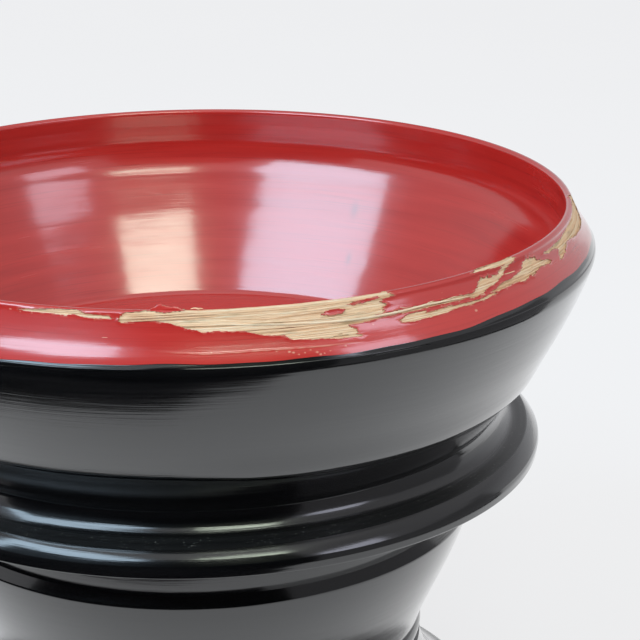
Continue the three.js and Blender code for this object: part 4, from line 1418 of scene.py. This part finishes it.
# %% Trumpet
FOOT_BEVEL = 1.2
FOOT_TOP = level("foot_hoop", 1)
FOOT_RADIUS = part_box("foot_hoop")[1].x / MM
trumpet_height = BEAD_BOTTOM - FOOT_TOP
foot_flare = FOOT_RADIUS - WAIST_RADIUS
trumpet_side = curve([
    at(WAIST_RADIUS, BEAD_BOTTOM),
    at(WAIST_RADIUS, BEAD_BOTTOM - trumpet_height * 0.36),
    at(WAIST_RADIUS + foot_flare * 0.36, FOOT_TOP + trumpet_height * 0.18),
    at(FOOT_RADIUS - 2 * FOOT_BEVEL, FOOT_TOP),
], 40)
trumpet_second_face = sideways(trumpet_side, -STAND_WALL)


def between_rings(line):
    """The points of a line that lie between the foot ring and the waist bead."""
    return line[(line[:, 1] < BEAD_BOTTOM - GAP) & (line[:, 1] > FOOT_TOP + GAP)]


trumpet = turned("trumpet", join(
    between_rings(trumpet_side), between_rings(trumpet_second_face)[::-1],
))
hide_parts("trumpet_upper", "trumpet_lower")

# %% [markdown]
# The bowl stands on a ring with a rounded outer edge, above and below, so that it can be picked
# up and doesn't splinter.

# %% Foot ring
FOOT_WIDTH = 11
FOOT_ROUND = 2.4
foot_inner = FOOT_RADIUS - FOOT_WIDTH
foot_line = join(
    at(foot_inner, 0),
    spaced(curve([
        at(FOOT_RADIUS - FOOT_ROUND, 0), at(FOOT_RADIUS, 0), at(FOOT_RADIUS, FOOT_ROUND),
    ], 6), 0.5),
    spaced(curve([
        at(FOOT_RADIUS, FOOT_TOP - FOOT_ROUND),
        at(FOOT_RADIUS, FOOT_TOP),
        at(FOOT_RADIUS - FOOT_ROUND, FOOT_TOP),
    ], 6), 0.5),
    at(foot_inner, FOOT_TOP),
)
foot = turned("foot_ring", foot_line)
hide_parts("foot_hoop")

# %% [markdown]
# The bowl stands on a pale floor. To the lens the floor is nearly white, while the light that it
# throws back on the bowl stays that of plain pale paint, and it keeps the bowl's shadow.

# %% Floor
floor_material, tree = new_material("pale_painted_floor")
paper = node(tree, "ShaderNodeTexNoise", {
    "Vector": node(tree, "ShaderNodeTexCoord").outputs["Object"],
    "Scale": 3.0,
    "Detail": 3.0,
})
floor_colour = node(tree, "ShaderNodeMix", {
    "Factor": node(tree, "ShaderNodeMapRange", {"Value": paper, "From Min": 0.3, "From Max": 0.7}),
    "A": "#E2E3E6",
    "B": "#E6E7EA",
}, data_type="RGBA")
plain = node(tree, "ShaderNodeBsdfDiffuse", {"Color": floor_colour})
lit = node(tree, "ShaderNodeEmission", {"Color": "#FDFDFE", "Strength": 1.0})
part_lit = node(tree, "ShaderNodeMixShader", {0: 0.76, 1: plain, 2: lit})
ray = node(tree, "ShaderNodeLightPath")
seen = ray.outputs["Is Camera Ray"]
for also in ("Is Glossy Ray", "Is Transmission Ray"):
    seen = node(tree, "ShaderNodeMath", {0: seen, 1: ray.outputs[also]}, operation="MAXIMUM")
shown = node(tree, "ShaderNodeMixShader", {0: seen, 1: plain, 2: part_lit})
node(tree, "ShaderNodeOutputMaterial", {"Surface": shown})

FLOOR_HALF = 14.0
FLOOR_BACK = 3
# A fifth of a millimetre under the foot, so that the two faces don't share a plane
FLOOR_TOP = -0.0002
corners_of_floor = [
    (x * FLOOR_HALF, y * FLOOR_HALF + FLOOR_BACK, FLOOR_TOP)
    for x, y in ((-1, -1), (1, -1), (1, 1), (-1, 1))
]
floor = new_mesh("floor", corners_of_floor, [(0, 1, 2, 3)], [floor_material])
print("floor", 2 * FLOOR_HALF, "m across")

# %% [markdown]
# The room gives gloss something to mirror. Its tone changes from the horizon up, and its far end
# is dark above a pale wall panel, which gives the lacquer its deep places.

# %% Room
world = bpy.data.worlds.new("pale_room")
world.use_nodes = True
tree = world.node_tree
tree.nodes.clear()
direction = node(tree, "ShaderNodeTexCoord").outputs["Generated"]
part = node(tree, "ShaderNodeSeparateXYZ", {"Vector": direction})
ROOM_TONES = (
    (0.0, "#C8C9CC"), (0.25, "#C2C3C7"), (0.45, "#A8A8AC"), (0.8, "#AEAEB1"), (1.0, "#EAEAEC"),
)
room = node(tree, "ShaderNodeValToRGB", {"Fac": part.outputs["Z"]}, tones=ROOM_TONES)
behind = node(tree, "ShaderNodeMapRange", {
    "Value": part.outputs["Y"],
    "From Min": 0.3,
    "From Max": 0.65,
})
above = node(tree, "ShaderNodeMapRange", {
    "Value": part.outputs["Z"],
    "From Min": 0.6,
    "From Max": 0.72,
})
dark = node(tree, "ShaderNodeMath", {0: behind, 1: above}, operation="MULTIPLY")
room = node(tree, "ShaderNodeMix", {"Factor": dark, "A": room, "B": "#2A2A2C"}, data_type="RGBA")
background = node(tree, "ShaderNodeBackground", {"Color": room, "Strength": 1.0})
node(tree, "ShaderNodeOutputWorld", {"Surface": background})
bpy.context.scene.world = world
print("room of", len(ROOM_TONES), "tones")

# %% [markdown]
# Three soft boxes stand for the windows that the rim and the inner wall mirror: a large bluish one
# on the left, a small, faintly green one in the middle and a weak one on the right. Area lamps are
# used, because glossy surfaces show their rectangles as they show a window.

# %% Windows
ABOUT_BOWL = Vector((0, 0, 0.26))


def soft_box(name, azimuth, elevation, distance, size, colour, radiance):
    """A rectangular light that faces the bowl. radiance is its brightness where white is 1."""
    data = bpy.data.lights.new(name, "AREA")
    data.shape = "RECTANGLE"
    data.size, data.size_y = size
    data.color = colour
    data.energy = radiance * math.pi * size[0] * size[1]
    lamp = bpy.data.objects.new(name, data)
    level_reach = distance * math.cos(math.radians(elevation))
    spot = ABOUT_BOWL + Vector((
        level_reach * math.sin(math.radians(azimuth)),
        -level_reach * math.cos(math.radians(azimuth)),
        distance * math.sin(math.radians(elevation)),
    ))
    turned_to = (ABOUT_BOWL - spot).to_track_quat("-Z", "Y").to_matrix().to_4x4()
    lamp.matrix_world = Matrix.Translation(spot) @ turned_to
    bpy.context.scene.collection.objects.link(lamp)
    print(name, "at", [round(c, 2) for c in spot])


soft_box("window_left", -53, 43, 2.6, (1.84, 1.2), (0.6, 0.81, 1.0), 5.9)
soft_box("window_middle", 17, 50.5, 2.4, (0.95, 0.55), (0.86, 0.98, 0.8), 7.2)
soft_box("window_right", 52, 33, 2.6, (0.85, 0.5), (0.82, 0.84, 1.0), 3.0)

# %% [markdown]
# A photographer gives dark gloss its depth with a black card. Here it lies in front on the left,
# where the side of the bowl mirrors the floor, and only reflections see it.

# %% Black card on the floor
CARD_EDGE = [
    (-115, 0.33), (-52, 0.315), (-40, 0.304), (-25, 0.296), (-15, 0.294), (-7, 0.297), (4, 0.323),
    (12, 0.335), (18, 0.348), (24, 0.42), (31, 0.5), (50, 0.54), (70, 0.5), (100, 0.52), (112, 3.0),
]
CARD_REACH = 3.0
CARD_POINTS = 60
card_material, tree = new_material("black_card")
felt = node(tree, "ShaderNodeTexNoise", {
    "Vector": node(tree, "ShaderNodeTexCoord").outputs["Object"],
    "Scale": 40.0,
})
felt = node(tree, "ShaderNodeMix", {"Factor": felt, "A": "#050505", "B": "#0C0C0D"}, data_type="RGBA")
node(tree, "ShaderNodeOutputMaterial", {
    "Surface": node(tree, "ShaderNodeBsdfDiffuse", {"Color": felt}),
})
card_azimuth, card_reach = np.array(CARD_EDGE).T
fine_azimuth = np.linspace(card_azimuth[0], card_azimuth[-1], CARD_POINTS)
fine_reach = np.interp(fine_azimuth, card_azimuth, card_reach)
near_edge = place_of(fine_azimuth, fine_reach / MM, 1.0)
far_edge = place_of(fine_azimuth, np.full(CARD_POINTS, CARD_REACH / MM), 1.0)


def only_mirrored(card):
    """Reflections see the card. The lens doesn't, and it doesn't shade or light the bowl."""
    card.visible_camera = False
    card.visible_diffuse = False
    card.visible_shadow = False


floor_card = new_mesh(
    "black_card", np.concatenate([near_edge, far_edge]),
    grid_faces(2, CARD_POINTS, closed=False).reshape(-1, 4), [card_material],
)
only_mirrored(floor_card)
print("card on the floor from", card_azimuth[0], "to", card_azimuth[-1], "degrees")

# %% [markdown]
# A second card stands upright round the front. On the left it is black and hides the foot of the
# windows, so that their reflections on the lip end where the real ones do. On the right it is
# grey, as a wall beside the camera would be.

# %% Upright card
UPRIGHT_EDGE = [
    (-62, 0.64), (-34, 0.65), (-26, 0.69), (-20, 0.75), (-14, 0.82), (28, 0.82), (36, 0.46),
    (95, 0.42),
]
UPRIGHT_REACH = 0.6
UPRIGHT_POINTS = 106
GREY_FROM = 30
grey_card, tree = new_material("grey_card")
node(tree, "ShaderNodeOutputMaterial", {
    "Surface": node(tree, "ShaderNodeEmission", {"Color": "#808083", "Strength": 1.0}),
})
edge_azimuth, edge_top = np.array(UPRIGHT_EDGE).T
upright_azimuth = np.linspace(edge_azimuth[0], edge_azimuth[-1], UPRIGHT_POINTS)
upright_top = np.interp(upright_azimuth, edge_azimuth, edge_top)
card_foot = place_of(upright_azimuth, UPRIGHT_REACH / MM, 2.0)
card_head = place_of(upright_azimuth, UPRIGHT_REACH / MM, upright_top / MM)
upright_card = new_mesh(
    "upright_card", np.concatenate([card_foot, card_head]),
    grid_faces(2, UPRIGHT_POINTS, closed=False).reshape(-1, 4), [card_material, grey_card],
    upright_azimuth[:-1] >= GREY_FROM,
)
only_mirrored(upright_card)
print("upright card up to", edge_top.max(), "m")
